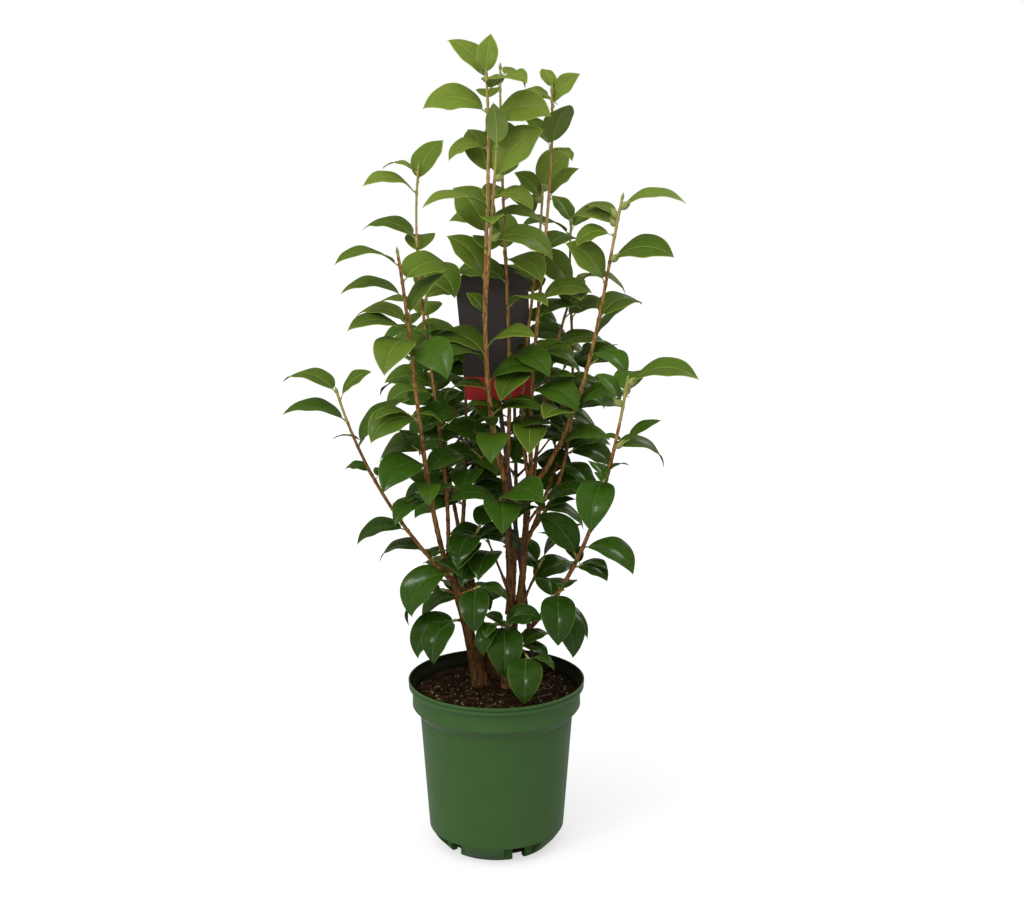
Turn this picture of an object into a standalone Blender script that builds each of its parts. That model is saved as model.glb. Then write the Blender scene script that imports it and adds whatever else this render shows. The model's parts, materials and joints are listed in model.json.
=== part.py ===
"""A potted camellia, built for Blender 4.5 in metres with +Z up.

Two leaning trunks and a darker one behind them rise from the soil of a round nursery pot. They fork
into long whippy shoots. Every shoot is one curve: its bare lower part is a bough, and its leafy upper
part is a spray, a single closed solid of stem, leaves and buds.

The origin is the centre of the pot's flat underside. The front of the plant looks along -Y.
"""
import math
import random
from dataclasses import dataclass

import bmesh
import bpy
from mathutils import Vector
from mathutils.bvhtree import BVHTree

# Pieces that touch on the real plant stay this far apart.
GAP = 0.0003

# The pot, a turned plastic shell. A 230 mm rim sets the scale of everything else.
RIM_RADIUS = 0.115
POT_HEIGHT = 0.225
WALL = 0.0022
FLOOR = 0.003
FOOT_RADIUS = 0.0692
CHAMFER_RADIUS = 0.0812
CHAMFER_HEIGHT = 0.0125
BODY_FOOT_RADIUS = 0.0887
BODY_FOOT_HEIGHT = 0.0240
BODY_TOP_RADIUS = 0.0998
BODY_TOP_HEIGHT = 0.179
BAND_RADIUS = 0.1095
BAND_FOOT_HEIGHT = 0.191
BEAD_HEIGHT = 0.0050
BEAD_ROUND = 0.0015
GROOVE_DEPTH = 0.0015
MOUTH_DRAFT = 0.0006
POT_SEGMENTS = 32
SHARP_ANGLE = math.radians(32.0)
NOTCH_COUNT = 5
NOTCH_FIRST_BEARING = math.radians(-137.5)
NOTCH_HEIGHT = 0.0235
HOLE_HALF_ANGLE = math.radians(7.3)
HOLE_INNER_RADIUS = 0.060
RECESS_HALF_ANGLE = math.radians(17.5)
RECESS_RADIUS = 0.0715
RECESS_RISE = 0.0003
NOTCH_REACH = 0.012
LEDGE_SLOPE = 0.0010

# The soil fills the pot to this height.
SOIL_HEIGHT = 0.207

# The plastic care tag: a rounded paddle on a stake pushed into the soil behind the front stems.
TAG_Y = 0.058
TAG_THICKNESS = 0.0012
TAG_WIDTH = 0.093
TAG_FOOT_WIDTH = 0.085
TAG_TOP = 0.760
TAG_ARCH = 0.034
TAG_FOOT = 0.583
TAG_SHOULDER = 0.004
TAG_TOP_SHIFT = -0.009
TAG_X = 0.004
STAKE_WIDTH = 0.006
STAKE_SHIFT = 0.048
TAG_ARC_STEPS = 10

# Limbs and leaves.
LIMB_SIDES = 8
BOUGH_SIDES = 6
TWIG_SIDES = 4
LIMB_STEP = 0.040
TWIG_STEP = 0.048
FLARE_REACH = 0.022
FLARE_RINGS = (0.2, 0.5)
ROOT_LOBES = 3
LOBE_SHARE = 0.35
LOBE_FADE = 9.0
S_BEND = 10.39
LENGTH_STEPS = 24
LEAF_LENGTH = 0.068
LEAF_WIDTH_SHARE = 0.64
LEAF_THICKNESS = 0.0012
LEAF_FOLD = 0.13
LEAF_STATIONS = (0.25, 0.63)
BLADE_SHIFT = 0.82
BLADE_FULLNESS = 0.72
BLADE_TAPER = 0.18
LEAF_LIFT = 42.0
LEAF_DROOP = 84.0
LIGHT_ROLL = 14.0
FACING_ROLL = 26.0
ROLL_AT_STALK = 0.4
LARGER = 1.16
SMALLER = 0.70
STEEP_LIFT = 26.0
STEEP_DROOP = 0.68
HANGING_DROP = 22.0
HANGING_DROOP = 14.0
SIZE_JITTER = 0.04
WIDTH_JITTER = 0.06
LIFT_JITTER = 4.0
DROOP_JITTER = 5.0
ROLL_JITTER = 9.0
PETIOLE = 0.009
PETIOLE_WIDTH = 0.0022
PETIOLE_THICKNESS = 0.0016
LEAF_CLEARANCE = 0.0012
LEAF_STEPS = 12
NODE_JITTER = 0.06
BEARING_JITTER = 4.0
RETRY_TURNS = (0.0, 14.0, -14.0, 28.0, -28.0, 42.0, -42.0, 60.0, -60.0)
BUD_LENGTH = 0.0150
BUD_RADIUS = 0.0050
TIP_BUD_LENGTH = 0.011
TIP_BUD_RADIUS = 0.0021
TIP_BUD_SINK = 0.002
BUD_STATIONS = ((0.35, 0.9), (0.6, 1.0))
TWIG_FIRST = 0.35
TWIG_SAG = -0.003
TWIG_SEED = 100

COMPASS = ("E", "ENE", "NE", "NNE", "N", "NNW", "NW", "WNW", "W", "WSW", "SW", "SSW", "S", "SSE", "SE", "ESE")
COMPASS_STEP = 22.5


@dataclass(frozen=True)
class Limb:
    """A tapering limb from foot to tip, bent sideways by bow at half length and by sway as an S."""

    name: str
    foot: tuple
    tip: tuple
    radii: tuple
    bow: tuple = (0.0, 0.0, 0.0)
    sway: tuple = (0.0, 0.0, 0.0)
    flare: float = 0.0
    on: tuple = ()


@dataclass(frozen=True)
class Twig:
    """A side twig: the share of its shoot where it leaves, how far it reaches, and its leaves."""

    at: float
    reach: tuple
    leaves: str
    radii: tuple = (0.0017, 0.0012)


@dataclass(frozen=True)
class Shoot(Limb):
    """A limb whose upper part, past the share called bare, carries flushes of leaves.

    A flush is (first, last, leaves): its leaves are evenly spaced between two shares of the
    shoot's length. Each leaf is a compass point for the side it grows to, E being the viewer's
    right and S the front. Marks after it: + larger, - smaller, ^ steeper, v hanging, f turned
    to face the front, b with a flower bud in its axil. A mark written twice counts twice.
    """

    bare: float = 0.0
    flushes: tuple = ()
    seed: int = 1
    twigs: tuple = ()


TRUNKS = (
    Limb("trunk_left", (-0.022, 0.015, 0.2073), (-0.065, 0.000, 0.388), (0.0090, 0.0046),
         bow=(0.004, 0.0, 0.0), flare=0.0040),
    Limb("trunk_left_back", (-0.007, 0.042, 0.2073), (-0.047, 0.051, 0.396), (0.0078, 0.0042),
         bow=(0.001, 0.0, 0.0), flare=0.0035),
    Limb("trunk_right", (0.017, 0.009, 0.2073), (0.022, 0.022, 0.312), (0.0092, 0.0074),
         bow=(-0.001, 0.0, 0.0), flare=0.0045),
)
LIMBS = (
    Limb("limb_centre", (0.0180, 0.0190, 0.306), (0.011, 0.010, 0.496), (0.0052, 0.0042),
         bow=(0.002, 0.0, 0.0), on=("trunk_right",)),
    Limb("limb_right", (0.0262, 0.0235, 0.306), (0.046, 0.032, 0.486), (0.0046, 0.0040),
         bow=(0.001, 0.0, 0.0), sway=(0.002, 0.0, 0.0), on=("trunk_right", "limb_centre")),
)
SHOOTS = (
    Shoot("front_left", (-0.0655, 0.001, 0.380), (-0.114, -0.100, 0.786), (0.0034, 0.0018),
          bow=(-0.005, 0.002, 0.0), sway=(-0.0025, 0.0, 0.0), on=("trunk_left",), bare=0.17, seed=3,
          flushes=((0.21, 0.27, "SWv N S-v"), (0.30, 0.37, "NEf SW+vf WNW+vf"), (0.45, 0.51, "NEf WSWvf N-"),
                   (0.59, 0.66, "WNW-v NE SW-"), (0.71, 0.805, "SE+vff SSW+v WSW+ N- WNW ENE^"),
                   (0.865, 0.96, "W+ NE+f WSW+"))),
    Shoot("tall_left", (-0.0625, 0.004, 0.380), (-0.099, 0.080, 0.876), (0.0027, 0.0014),
          bow=(-0.003, 0.0, -0.001), sway=(0.007, 0.0, 0.0), on=("trunk_left", "bough_front_left"),
          bare=0.30, seed=4,
          flushes=((0.34, 0.43, "Evf N Wvf"), (0.48, 0.56, "NNE^ WNWf SEv"), (0.62, 0.67, "N E-f"),
                   (0.745, 0.825, "SE+vf N WNW+"), (0.94, 0.99, "WSW NE^ NW-"))),
    Shoot("far_left", (-0.0600, 0.001, 0.358), (-0.195, -0.045, 0.610), (0.0028, 0.0016),
          bow=(-0.015, 0.0, -0.008), on=("trunk_left", "bough_front_left"), bare=0.07, seed=5,
          flushes=((0.11, 0.17, "E-v WNWv"), (0.295, 0.34, "Wv N-"), (0.57, 0.60, "NNE-- WNW--"),
                   (0.745, 0.745, "ENE+^"), (0.863, 0.863, "W+"), (0.965, 0.995, "E-^f WNW+"))),
    Shoot("inner_left", (-0.0470, 0.0515, 0.388), (-0.046, 0.130, 0.664), (0.0030, 0.0015),
          bow=(0.006, 0.0, 0.0), on=("trunk_left_back",), bare=0.14, seed=6,
          flushes=((0.19, 1.0, "Wvf Evf SWv N SEvf Wvf S-v Ef N SWf Ef NW Wf E^f"),),
          twigs=(Twig(0.30, (0.030, -0.034, 0.050), "Sv Evf Wvf S"),
                 Twig(0.52, (-0.040, 0.018, 0.055), "Wvf N Sv Wf"))),
    Shoot("leader", (0.0110, 0.0100, 0.488), (-0.010, -0.040, 0.991), (0.0038, 0.0015),
          bow=(-0.013, 0.001, -0.002), sway=(-0.006, 0.0, 0.0), on=("limb_centre",), bare=0.08, seed=7,
          flushes=((0.12, 0.17, "Sv N E"), (0.235, 0.26, "WNWv NE+"), (0.305, 0.345, "WSW NW+ ESE"),
                   (0.422, 0.422, "WNW--^f"), (0.515, 0.515, "WNW^f"), (0.62, 0.70, "NW+^ff NNE"),
                   (0.765, 0.83, "NNW+^f W-vf"), (0.888, 0.888, "ESE+ff"), (0.912, 0.962, "W+f NW-f SE"),
                   (0.985, 0.999, "WNW^f NNE-^^ SSE--^^")),
          twigs=(Twig(0.45, (0.0150, -0.0510, 0.192), "N E+vbf S- WSW++ E-vf E+^fbf N SSW-^^",
                      radii=(0.0024, 0.0015)),)),
    Shoot("leader_back", (0.0120, 0.0130, 0.470), (0.006, 0.040, 1.000), (0.0028, 0.0013),
          bow=(0.005, 0.004, -0.001), sway=(0.003, 0.0, 0.0), on=("limb_centre", "bough_leader"),
          bare=0.26, seed=9,
          flushes=((0.33, 0.62, "Evf SWv E NWf Evf Wf"), (0.70, 0.79, "NEv N S^"), (0.87, 0.953, "N E NNW-f"),
                   (0.985, 0.985, "NE-vf"))),
    Shoot("tall_right", (0.0460, 0.0320, 0.478), (0.069, 0.010, 0.972), (0.0029, 0.0014),
          bow=(-0.002, 0.0, 0.0), sway=(-0.0045, 0.0, 0.0), on=("limb_right",), bare=0.10, seed=10,
          flushes=((0.15, 0.48, "Sv Wvf Evf SWv SEv Wf N Ef"), (0.60, 0.735, "NE W E-^f"),
                   (0.855, 0.865, "SE--v WNW-^f SSE^"), (0.96, 0.998, "E-^ff NW- NNW--^"))),
    Shoot("mid_right", (0.0445, 0.0320, 0.470), (0.059, 0.054, 0.852), (0.0027, 0.0014),
          bow=(-0.012, 0.006, 0.0), sway=(-0.005, 0.0, 0.0), on=("limb_right", "bough_tall_right"),
          bare=0.20, seed=11,
          flushes=((0.26, 0.52, "Wvf N SWv Evf Wf"), (0.645, 0.695, "NW NW+"), (0.80, 0.80, "N"),
                   (0.955, 0.995, "W-^ffb NW-f NE^ffb"))),
    Shoot("inner_right", (0.0470, 0.0350, 0.456), (0.104, 0.080, 0.736), (0.0027, 0.0015),
          bow=(-0.010, 0.002, 0.003), on=("limb_right", "bough_tall_right", "bough_mid_right"),
          bare=0.20, seed=12,
          flushes=((0.25, 0.58, "E+v N ESE+v S E+v W N"), (0.66, 0.78, "E W-f"), (0.82, 1.0, "E S W^ff Ebv")),
          twigs=(Twig(0.42, (0.026, -0.020, 0.052), "E S W E"),)),
    Shoot("outer_right", (0.0470, 0.0300, 0.472), (0.155, -0.010, 0.844), (0.0031, 0.0017),
          bow=(0.019, 0.001, -0.008), sway=(0.004, 0.0, -0.003), on=("limb_right", "bough_tall_right"),
          bare=0.12, seed=13,
          flushes=((0.17, 0.36, "E W S E N"), (0.458, 0.495, "ENE-v SEv"), (0.613, 0.613, "NE+"),
                   (0.725, 0.725, "W^ff"), (0.797, 0.797, "ESE+bf"), (0.88, 0.965, "W-vf NW+fb NNW-b E+b"))),
    Shoot("rear_right", (0.0330, 0.0290, 0.400), (0.098, 0.120, 0.806), (0.0026, 0.0014),
          bow=(0.034, 0.004, -0.013), sway=(0.010, 0.0, -0.007), on=("limb_right",), bare=0.26,
          seed=14, flushes=((0.31, 0.63, "Evf Wvf N Ef SWv Ef Wf"), (0.71, 0.815, "NE+ N W-^f"),
                            (0.96, 0.99, "WSW NE- NW-^")),
          twigs=(Twig(0.42, (-0.036, 0.012, 0.058), "W N W"),)),
    Shoot("far_right", (0.0190, 0.0180, 0.262), (0.159, -0.095, 0.633), (0.0034, 0.0018),
          bow=(0.030, 0.002, -0.013), sway=(0.003, 0.0, -0.003), on=("trunk_right",), bare=0.09,
          seed=15,
          flushes=((0.14, 0.25, "Ev SE+vv N S+vv"), (0.35, 0.43, "ESE-vf WNW^f ESE+v"),
                   (0.672, 0.672, "SSW+vv"), (0.777, 0.777, "ENE+vb"), (0.915, 0.985, "W-^fb Nb ESE++b"))),
    Shoot("back_left", (-0.0330, 0.0480, 0.330), (-0.095, 0.165, 0.700), (0.0030, 0.0015),
          bow=(-0.008, 0.012, 0.0), on=("trunk_left_back",), bare=0.22, seed=16,
          flushes=((0.27, 1.0, "N Wvf E NW SEv NE Wf N Ef W NE SWv W N^"),),
          twigs=(Twig(0.45, (0.040, 0.010, 0.055), "E N W"),)),
    Shoot("back_centre", (0.0200, 0.0230, 0.290), (0.010, 0.185, 0.760), (0.0032, 0.0015),
          bow=(0.010, 0.020, -0.010), on=("trunk_right",), bare=0.26, seed=17,
          flushes=((0.31, 1.0, "N Ef Wvf NE SWv E N Wf SEf NW NE W N E N^"),),
          twigs=(Twig(0.40, (0.045, 0.012, 0.050), "E N E"),)),
    Shoot("back_right", (0.0360, 0.0280, 0.390), (0.130, 0.165, 0.640), (0.0028, 0.0015),
          bow=(0.004, 0.016, -0.010), on=("limb_right", "bough_rear_right"), bare=0.24, seed=38,
          flushes=((0.29, 1.0, "Ef N SEv E N Wf E NE SWf N W E^"),),
          twigs=(Twig(0.45, (-0.010, 0.040, 0.050), "N W E"),)),
    Shoot("low_rear_right", (0.0250, 0.0260, 0.296), (0.060, 0.074, 0.362), (0.0022, 0.0014),
          on=("trunk_right", "limb_right", "bough_back_centre"), bare=0.45, seed=19,
          flushes=((0.60, 1.0, "Ef SEv N W E^"),)),
    Shoot("thin_centre", (0.0165, 0.0200, 0.335), (-0.010, 0.046, 0.394), (0.0020, 0.0013),
          on=("limb_centre",), bare=0.30, seed=20, flushes=((0.62, 1.0, "Wvf SEv W-f"),)),
    Shoot("low_centre", (0.0120, 0.0110, 0.446), (0.006, -0.016, 0.466), (0.0020, 0.0013),
          on=("limb_centre",), seed=26, flushes=((0.55, 1.0, "W S+v SE+f"),)),
    Shoot("low_rise", (0.0400, 0.0280, 0.425), (0.062, 0.008, 0.462), (0.0020, 0.0013),
          on=("limb_right",), seed=27, flushes=((0.45, 1.0, "Ev Wv E+ N^"),)),
    Shoot("low_front", (0.0185, 0.0135, 0.290), (0.000, -0.026, 0.306), (0.0022, 0.0014),
          on=("trunk_right",), seed=29,
          flushes=((0.45, 1.0, "SE+vv E-ff SSE-vv SSW--v"),)),
    Shoot("low_middle", (-0.0425, 0.0470, 0.372), (-0.022, 0.012, 0.424), (0.0022, 0.0013),
          on=("trunk_left_back",), seed=30, flushes=((0.35, 1.0, "E+vf SWvf Evf SSWv NE Ef"),)),
    Shoot("low_right", (0.0190, 0.0080, 0.262), (0.041, -0.050, 0.268), (0.0024, 0.0015),
          bow=(0.0, 0.0, 0.006), on=("trunk_right", "bough_far_right"), seed=21,
          flushes=((0.25, 0.60, "ESE-v NE-"), (0.90, 1.0, "Svv ESE--v"))),
    Shoot("low_left_upper", (-0.0605, 0.004, 0.368), (-0.057, -0.013, 0.369), (0.0022, 0.0014),
          on=("trunk_left",), seed=22, flushes=((0.90, 0.90, "W+vvff"),)),
    Shoot("low_left_front", (-0.0515, 0.0035, 0.335), (-0.025, -0.015, 0.351), (0.0020, 0.0013),
          on=("trunk_left",), seed=28, flushes=((0.80, 1.0, "E-v Svv"),)),
    Shoot("low_left_middle", (-0.0530, 0.004, 0.338), (-0.066, -0.002, 0.344), (0.0018, 0.0012),
          on=("trunk_left",), seed=23, flushes=((0.90, 0.90, "W+vv"),)),
    Shoot("low_left", (-0.0440, 0.008, 0.300), (-0.052, -0.004, 0.304), (0.0020, 0.0013),
          on=("trunk_left",), seed=24, flushes=((0.45, 0.90, "W+vvf SWvv"),)),
    Shoot("low_rear", (-0.0160, 0.0460, 0.262), (-0.050, 0.095, 0.330), (0.0022, 0.0014),
          on=("trunk_left_back",), bare=0.28, seed=25, flushes=((0.45, 1.0, "NE N Wv E-v N NW"),)),
)

GREEN = (0.045, 0.125, 0.022)
BARK = (0.210, 0.095, 0.045)
TWIG = (0.300, 0.130, 0.050)
POT_GREEN = (0.058, 0.135, 0.045)
SOIL = (0.030, 0.019, 0.012)
CHARCOAL = (0.035, 0.034, 0.036)


def clear_scene():
    """Remove every object that the scene starts with."""
    for obj in list(bpy.data.objects):
        bpy.data.objects.remove(obj, do_unlink=True)


def material(name, colour, roughness):
    """A Principled material of one colour."""
    made = bpy.data.materials.new(name)
    made.use_nodes = True
    shader = made.node_tree.nodes["Principled BSDF"]
    shader.inputs["Base Color"].default_value = (*colour, 1.0)
    shader.inputs["Roughness"].default_value = roughness
    shader.inputs["Metallic"].default_value = 0.0
    return made


def mesh_from(name, points, faces):
    """A triangulated mesh from points and faces, with its faces turned outward."""
    shape = bmesh.new()
    corners = [shape.verts.new(point) for point in points]
    for face in faces:
        shape.faces.new([corners[index] for index in face])
    shape.normal_update()
    bmesh.ops.triangulate(shape, faces=shape.faces[:])
    bmesh.ops.recalc_face_normals(shape, faces=shape.faces[:])
    mesh = bpy.data.meshes.new(name)
    shape.to_mesh(mesh)
    shape.free()
    return mesh


def add_object(name, mesh, finish):
    """Link a mesh into the scene as one object with one material."""
    obj = bpy.data.objects.new(name, mesh)
    bpy.context.scene.collection.objects.link(obj)
    mesh.materials.clear()
    mesh.materials.append(finish)
    return obj


def largest_piece(mesh):
    """Drop every loose scrap of a mesh but the largest."""
    shape = bmesh.new()
    shape.from_mesh(mesh)
    left = set(shape.verts)
    groups = []
    while left:
        reached = {left.pop()}
        edge = list(reached)
        while edge:
            vert = edge.pop()
            for link in vert.link_edges:
                other = link.other_vert(vert)
                if other in left:
                    left.remove(other)
                    reached.add(other)
                    edge.append(other)
        groups.append(reached)
    groups.sort(key=len, reverse=True)
    scraps = [vert for group in groups[1:] for vert in group]
    bmesh.ops.delete(shape, geom=scraps, context="VERTS")
    shape.to_mesh(mesh)
    shape.free()


def apply_boolean(obj, operation, solver, cutter=None, collection=None):
    """Join obj with, or cut it by, an object or a collection, and keep the result as its mesh."""
    change = obj.modifiers.new("change", "BOOLEAN")
    change.operation = operation
    change.solver = solver
    if collection is None:
        change.object = cutter
    else:
        change.operand_type = "COLLECTION"
        change.collection = collection
    evaluated = obj.evaluated_get(bpy.context.evaluated_depsgraph_get())
    mesh = bpy.data.meshes.new_from_object(evaluated)
    obj.modifiers.remove(change)
    finish = obj.data.materials[0]
    obj.data = mesh
    mesh.materials.clear()
    mesh.materials.append(finish)


def along(limb, share):
    """The point of a limb's centre line at a share of its length."""
    foot = Vector(limb.foot)
    tip = Vector(limb.tip)
    bend = Vector(limb.bow) * (4.0 * share * (1.0 - share))
    swing = Vector(limb.sway) * (S_BEND * share * (1.0 - share) * (1.0 - 2.0 * share))
    return foot.lerp(tip, share) + bend + swing


def direction(limb, share):
    """The direction that a limb's centre line takes at a share of its length."""
    step = 0.002
    return (along(limb, share + step) - along(limb, share - step)).normalized()


def limb_length(limb):
    """The length of a limb's centre line."""
    points = [along(limb, index / LENGTH_STEPS) for index in range(LENGTH_STEPS + 1)]
    return sum((second - first).length for first, second in zip(points, points[1:]))


def radius_at(limb, share):
    """A limb's radius at a share of its length, with the flare at its root."""
    straight = limb.radii[0] + (limb.radii[1] - limb.radii[0]) * share
    height = share * limb_length(limb)
    return straight + limb.flare * math.exp(-height / FLARE_REACH)


def limb_mesh(limb, first, last, sides, step, grow=0.0):
    """A closed tube along a limb between two shares of its length.

    A limb with a root flare stands on a level cut, and its foot has shallow root lobes.
    """
    count = max(2, math.ceil((last - first) * limb_length(limb) / step))
    shares = [first + (last - first) * index / count for index in range(count + 1)]
    if limb.flare > 0.0:
        shares[1:1] = [first + (last - first) * part / count for part in FLARE_RINGS]
    points = []
    side = Vector((1.0, 0.0, 0.0))
    for share in shares:
        centre = along(limb, share)
        way = direction(limb, share)
        side = (side - way * side.dot(way)).normalized()
        other = way.cross(side)
        radius = radius_at(limb, share) + grow
        for index in range(sides):
            angle = 2.0 * math.pi * index / sides
            lobe = limb.flare * LOBE_SHARE * math.cos(ROOT_LOBES * angle) * math.exp(-share * LOBE_FADE)
            reach = radius + lobe
            point = centre + side * (reach * math.cos(angle)) + other * (reach * math.sin(angle))
            if limb.flare > 0.0 and share == first:
                point -= way * ((point.z - centre.z) / way.z)
            points.append(point)
    faces = [list(range(sides))]
    for ring in range(len(shares) - 1):
        for index in range(sides):
            here = ring * sides + index
            beside = ring * sides + (index + 1) % sides
            faces.append((here, beside, beside + sides, here + sides))
    top = (len(shares) - 1) * sides
    faces.append([top + index for index in range(sides)])
    return mesh_from(limb.name, points, faces)


def turned(name, profile):
    """A round solid, spun from (radius, height) points that start and end on the axis."""
    shape = bmesh.new()
    verts = [shape.verts.new((radius, 0.0, height)) for radius, height in profile]
    edges = [shape.edges.new(pair) for pair in zip(verts, verts[1:])]
    bmesh.ops.spin(shape, geom=verts + edges, axis=(0.0, 0.0, 1.0), cent=(0.0, 0.0, 0.0),
                   angle=2.0 * math.pi, steps=POT_SEGMENTS, use_merge=True)
    bmesh.ops.remove_doubles(shape, verts=shape.verts[:], dist=0.00001)
    bmesh.ops.recalc_face_normals(shape, faces=shape.faces[:])
    mesh = bpy.data.meshes.new(name)
    shape.to_mesh(mesh)
    shape.free()
    return mesh


def wall_radius(height):
    """The pot's inner radius at a height up its foot, body, band and rim."""
    ledge = BODY_FOOT_HEIGHT + WALL
    steps = ((FLOOR, RECESS_RADIUS - WALL), (ledge - LEDGE_SLOPE, RECESS_RADIUS - WALL),
             (ledge, BODY_FOOT_RADIUS - WALL), (BODY_TOP_HEIGHT + WALL, BODY_TOP_RADIUS - WALL),
             (BAND_FOOT_HEIGHT + WALL, BAND_RADIUS - WALL), (POT_HEIGHT, BAND_RADIUS - WALL + MOUTH_DRAFT))
    for (low, narrow), (high, wide) in zip(steps, steps[1:]):
        if height <= high:
            return narrow + (wide - narrow) * (height - low) / (high - low)
    return steps[-1][1]


def notch_sector(bearing, half_angle, inner, top):
    """Points and faces of a wedge that cuts into the pot's foot, up to a height and in to a radius."""
    points = []
    for height in (-top, top):
        for radius in (inner, BODY_FOOT_RADIUS + NOTCH_REACH):
            for turn in (-half_angle, 0.0, half_angle):
                angle = bearing + turn
                points.append((radius * math.cos(angle), radius * math.sin(angle), height))
    faces = [(0, 1, 4, 3), (1, 2, 5, 4), (6, 7, 10, 9), (7, 8, 11, 10), (0, 1, 7, 6), (1, 2, 8, 7),
             (3, 4, 10, 9), (4, 5, 11, 10), (0, 3, 9, 6), (2, 5, 11, 8)]
    return points, faces


def build_pot():
    """The pot's turned shell, with drain notches cut into its foot, each a hole in a wider recess."""
    bead_foot = POT_HEIGHT - BEAD_HEIGHT
    profile = [
        (0.0, 0.0),
        (FOOT_RADIUS, 0.0),
        (CHAMFER_RADIUS, CHAMFER_HEIGHT),
        (BODY_FOOT_RADIUS, BODY_FOOT_HEIGHT),
        (BODY_TOP_RADIUS, BODY_TOP_HEIGHT),
        (BAND_RADIUS - BEAD_ROUND, BAND_FOOT_HEIGHT - BEAD_ROUND),
        (BAND_RADIUS, BAND_FOOT_HEIGHT + BEAD_ROUND),
        (BAND_RADIUS, bead_foot - GROOVE_DEPTH),
        (BAND_RADIUS - GROOVE_DEPTH * 0.5, bead_foot),
        (RIM_RADIUS - BEAD_ROUND, bead_foot),
        (RIM_RADIUS, bead_foot + BEAD_ROUND),
        (RIM_RADIUS, POT_HEIGHT - BEAD_ROUND),
        (RIM_RADIUS - BEAD_ROUND, POT_HEIGHT),
        (RIM_RADIUS - BEAD_HEIGHT + BEAD_ROUND, POT_HEIGHT),
    ]
    ledge = BODY_FOOT_HEIGHT + WALL
    for height in (bead_foot, BAND_FOOT_HEIGHT + WALL, BODY_TOP_HEIGHT + WALL,
                   ledge, ledge - LEDGE_SLOPE, FLOOR):
        profile.append((wall_radius(height), height))
    profile.append((0.0, FLOOR))
    pot = add_object("pot", turned("pot", profile), material("pot_green", POT_GREEN, 0.5))
    notches = bpy.data.collections.new("notches")
    for index in range(NOTCH_COUNT):
        bearing = NOTCH_FIRST_BEARING + 2.0 * math.pi * index / NOTCH_COUNT
        for half_angle, inner, top in ((HOLE_HALF_ANGLE, HOLE_INNER_RADIUS, NOTCH_HEIGHT),
                                       (RECESS_HALF_ANGLE, RECESS_RADIUS, NOTCH_HEIGHT + RECESS_RISE)):
            points, faces = notch_sector(bearing, half_angle, inner, top)
            cutter = bpy.data.objects.new("notch", mesh_from("notch", points, faces))
            notches.objects.link(cutter)
    bpy.context.scene.collection.children.link(notches)
    apply_boolean(pot, "DIFFERENCE", "EXACT", collection=notches)
    drop_collection(notches)
    pot.data.shade_smooth()
    pot.data.set_sharp_from_angle(angle=SHARP_ANGLE)
    return pot


def drop_collection(collection):
    """Remove a helper collection with everything in it."""
    for obj in list(collection.objects):
        bpy.data.objects.remove(obj, do_unlink=True)
    bpy.data.collections.remove(collection)


def build_soil():
    """The soil, filling the inside of the pot to its level top."""
    ledge = BODY_FOOT_HEIGHT + WALL + GAP
    foot = RECESS_RADIUS - WALL - 2.0 * GAP
    profile = [(0.0, FLOOR + GAP), (foot, FLOOR + GAP), (foot, ledge)]
    for height in (ledge, BODY_TOP_HEIGHT + WALL, BAND_FOOT_HEIGHT + WALL, SOIL_HEIGHT):
        profile.append((wall_radius(height) - 2.0 * GAP, height))
    profile.append((0.0, SOIL_HEIGHT))
    return add_object("soil", turned("soil", profile), material("soil_dark", SOIL, 0.95))


def build_tag():
    """The blank care tag: one thin outline, rounded at the top, on a slanting stake down to the soil."""
    half_top = TAG_WIDTH / 2.0
    half_foot = TAG_FOOT_WIDTH / 2.0
    half_stake = STAKE_WIDTH / 2.0
    crown = TAG_TOP - TAG_ARCH
    top_x = TAG_X + TAG_TOP_SHIFT
    stake_x = TAG_X + STAKE_SHIFT
    outline = [(stake_x - half_stake, SOIL_HEIGHT + GAP), (stake_x + half_stake, SOIL_HEIGHT + GAP)]
    outline.append((TAG_X + half_stake, TAG_FOOT - TAG_SHOULDER))
    outline.append((TAG_X + half_foot, TAG_FOOT))
    for index in range(TAG_ARC_STEPS + 1):
        angle = math.pi * index / TAG_ARC_STEPS
        outline.append((top_x + half_top * math.cos(angle), crown + TAG_ARCH * math.sin(angle)))
    outline.append((TAG_X - half_foot, TAG_FOOT))
    outline.append((TAG_X - half_stake, TAG_FOOT - TAG_SHOULDER))
    count = len(outline)
    points = [(x, TAG_Y - TAG_THICKNESS / 2.0, z) for x, z in outline]
    points += [(x, TAG_Y + TAG_THICKNESS / 2.0, z) for x, z in outline]
    faces = [list(range(count)), list(range(count, 2 * count))]
    for index in range(count):
        after = (index + 1) % count
        faces.append((index, after, count + after, count + index))
    return add_object("care_tag", mesh_from("care_tag", points, faces),
                      material("tag_plastic", CHARCOAL, 0.45))


def seat_on(obj, limbs):
    """Cut a limb back so that it sits a gap clear of the limbs that carry it."""
    for limb, last in limbs:
        tail = GAP / limb_length(limb)
        mesh = limb_mesh(limb, -tail, last + tail, LIMB_SIDES, LIMB_STEP, grow=GAP)
        cutter = bpy.data.objects.new("seat", mesh)
        bpy.context.scene.collection.objects.link(cutter)
        apply_boolean(obj, "DIFFERENCE", "EXACT", cutter=cutter)
        bpy.data.objects.remove(cutter, do_unlink=True)
    largest_piece(obj.data)


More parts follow.
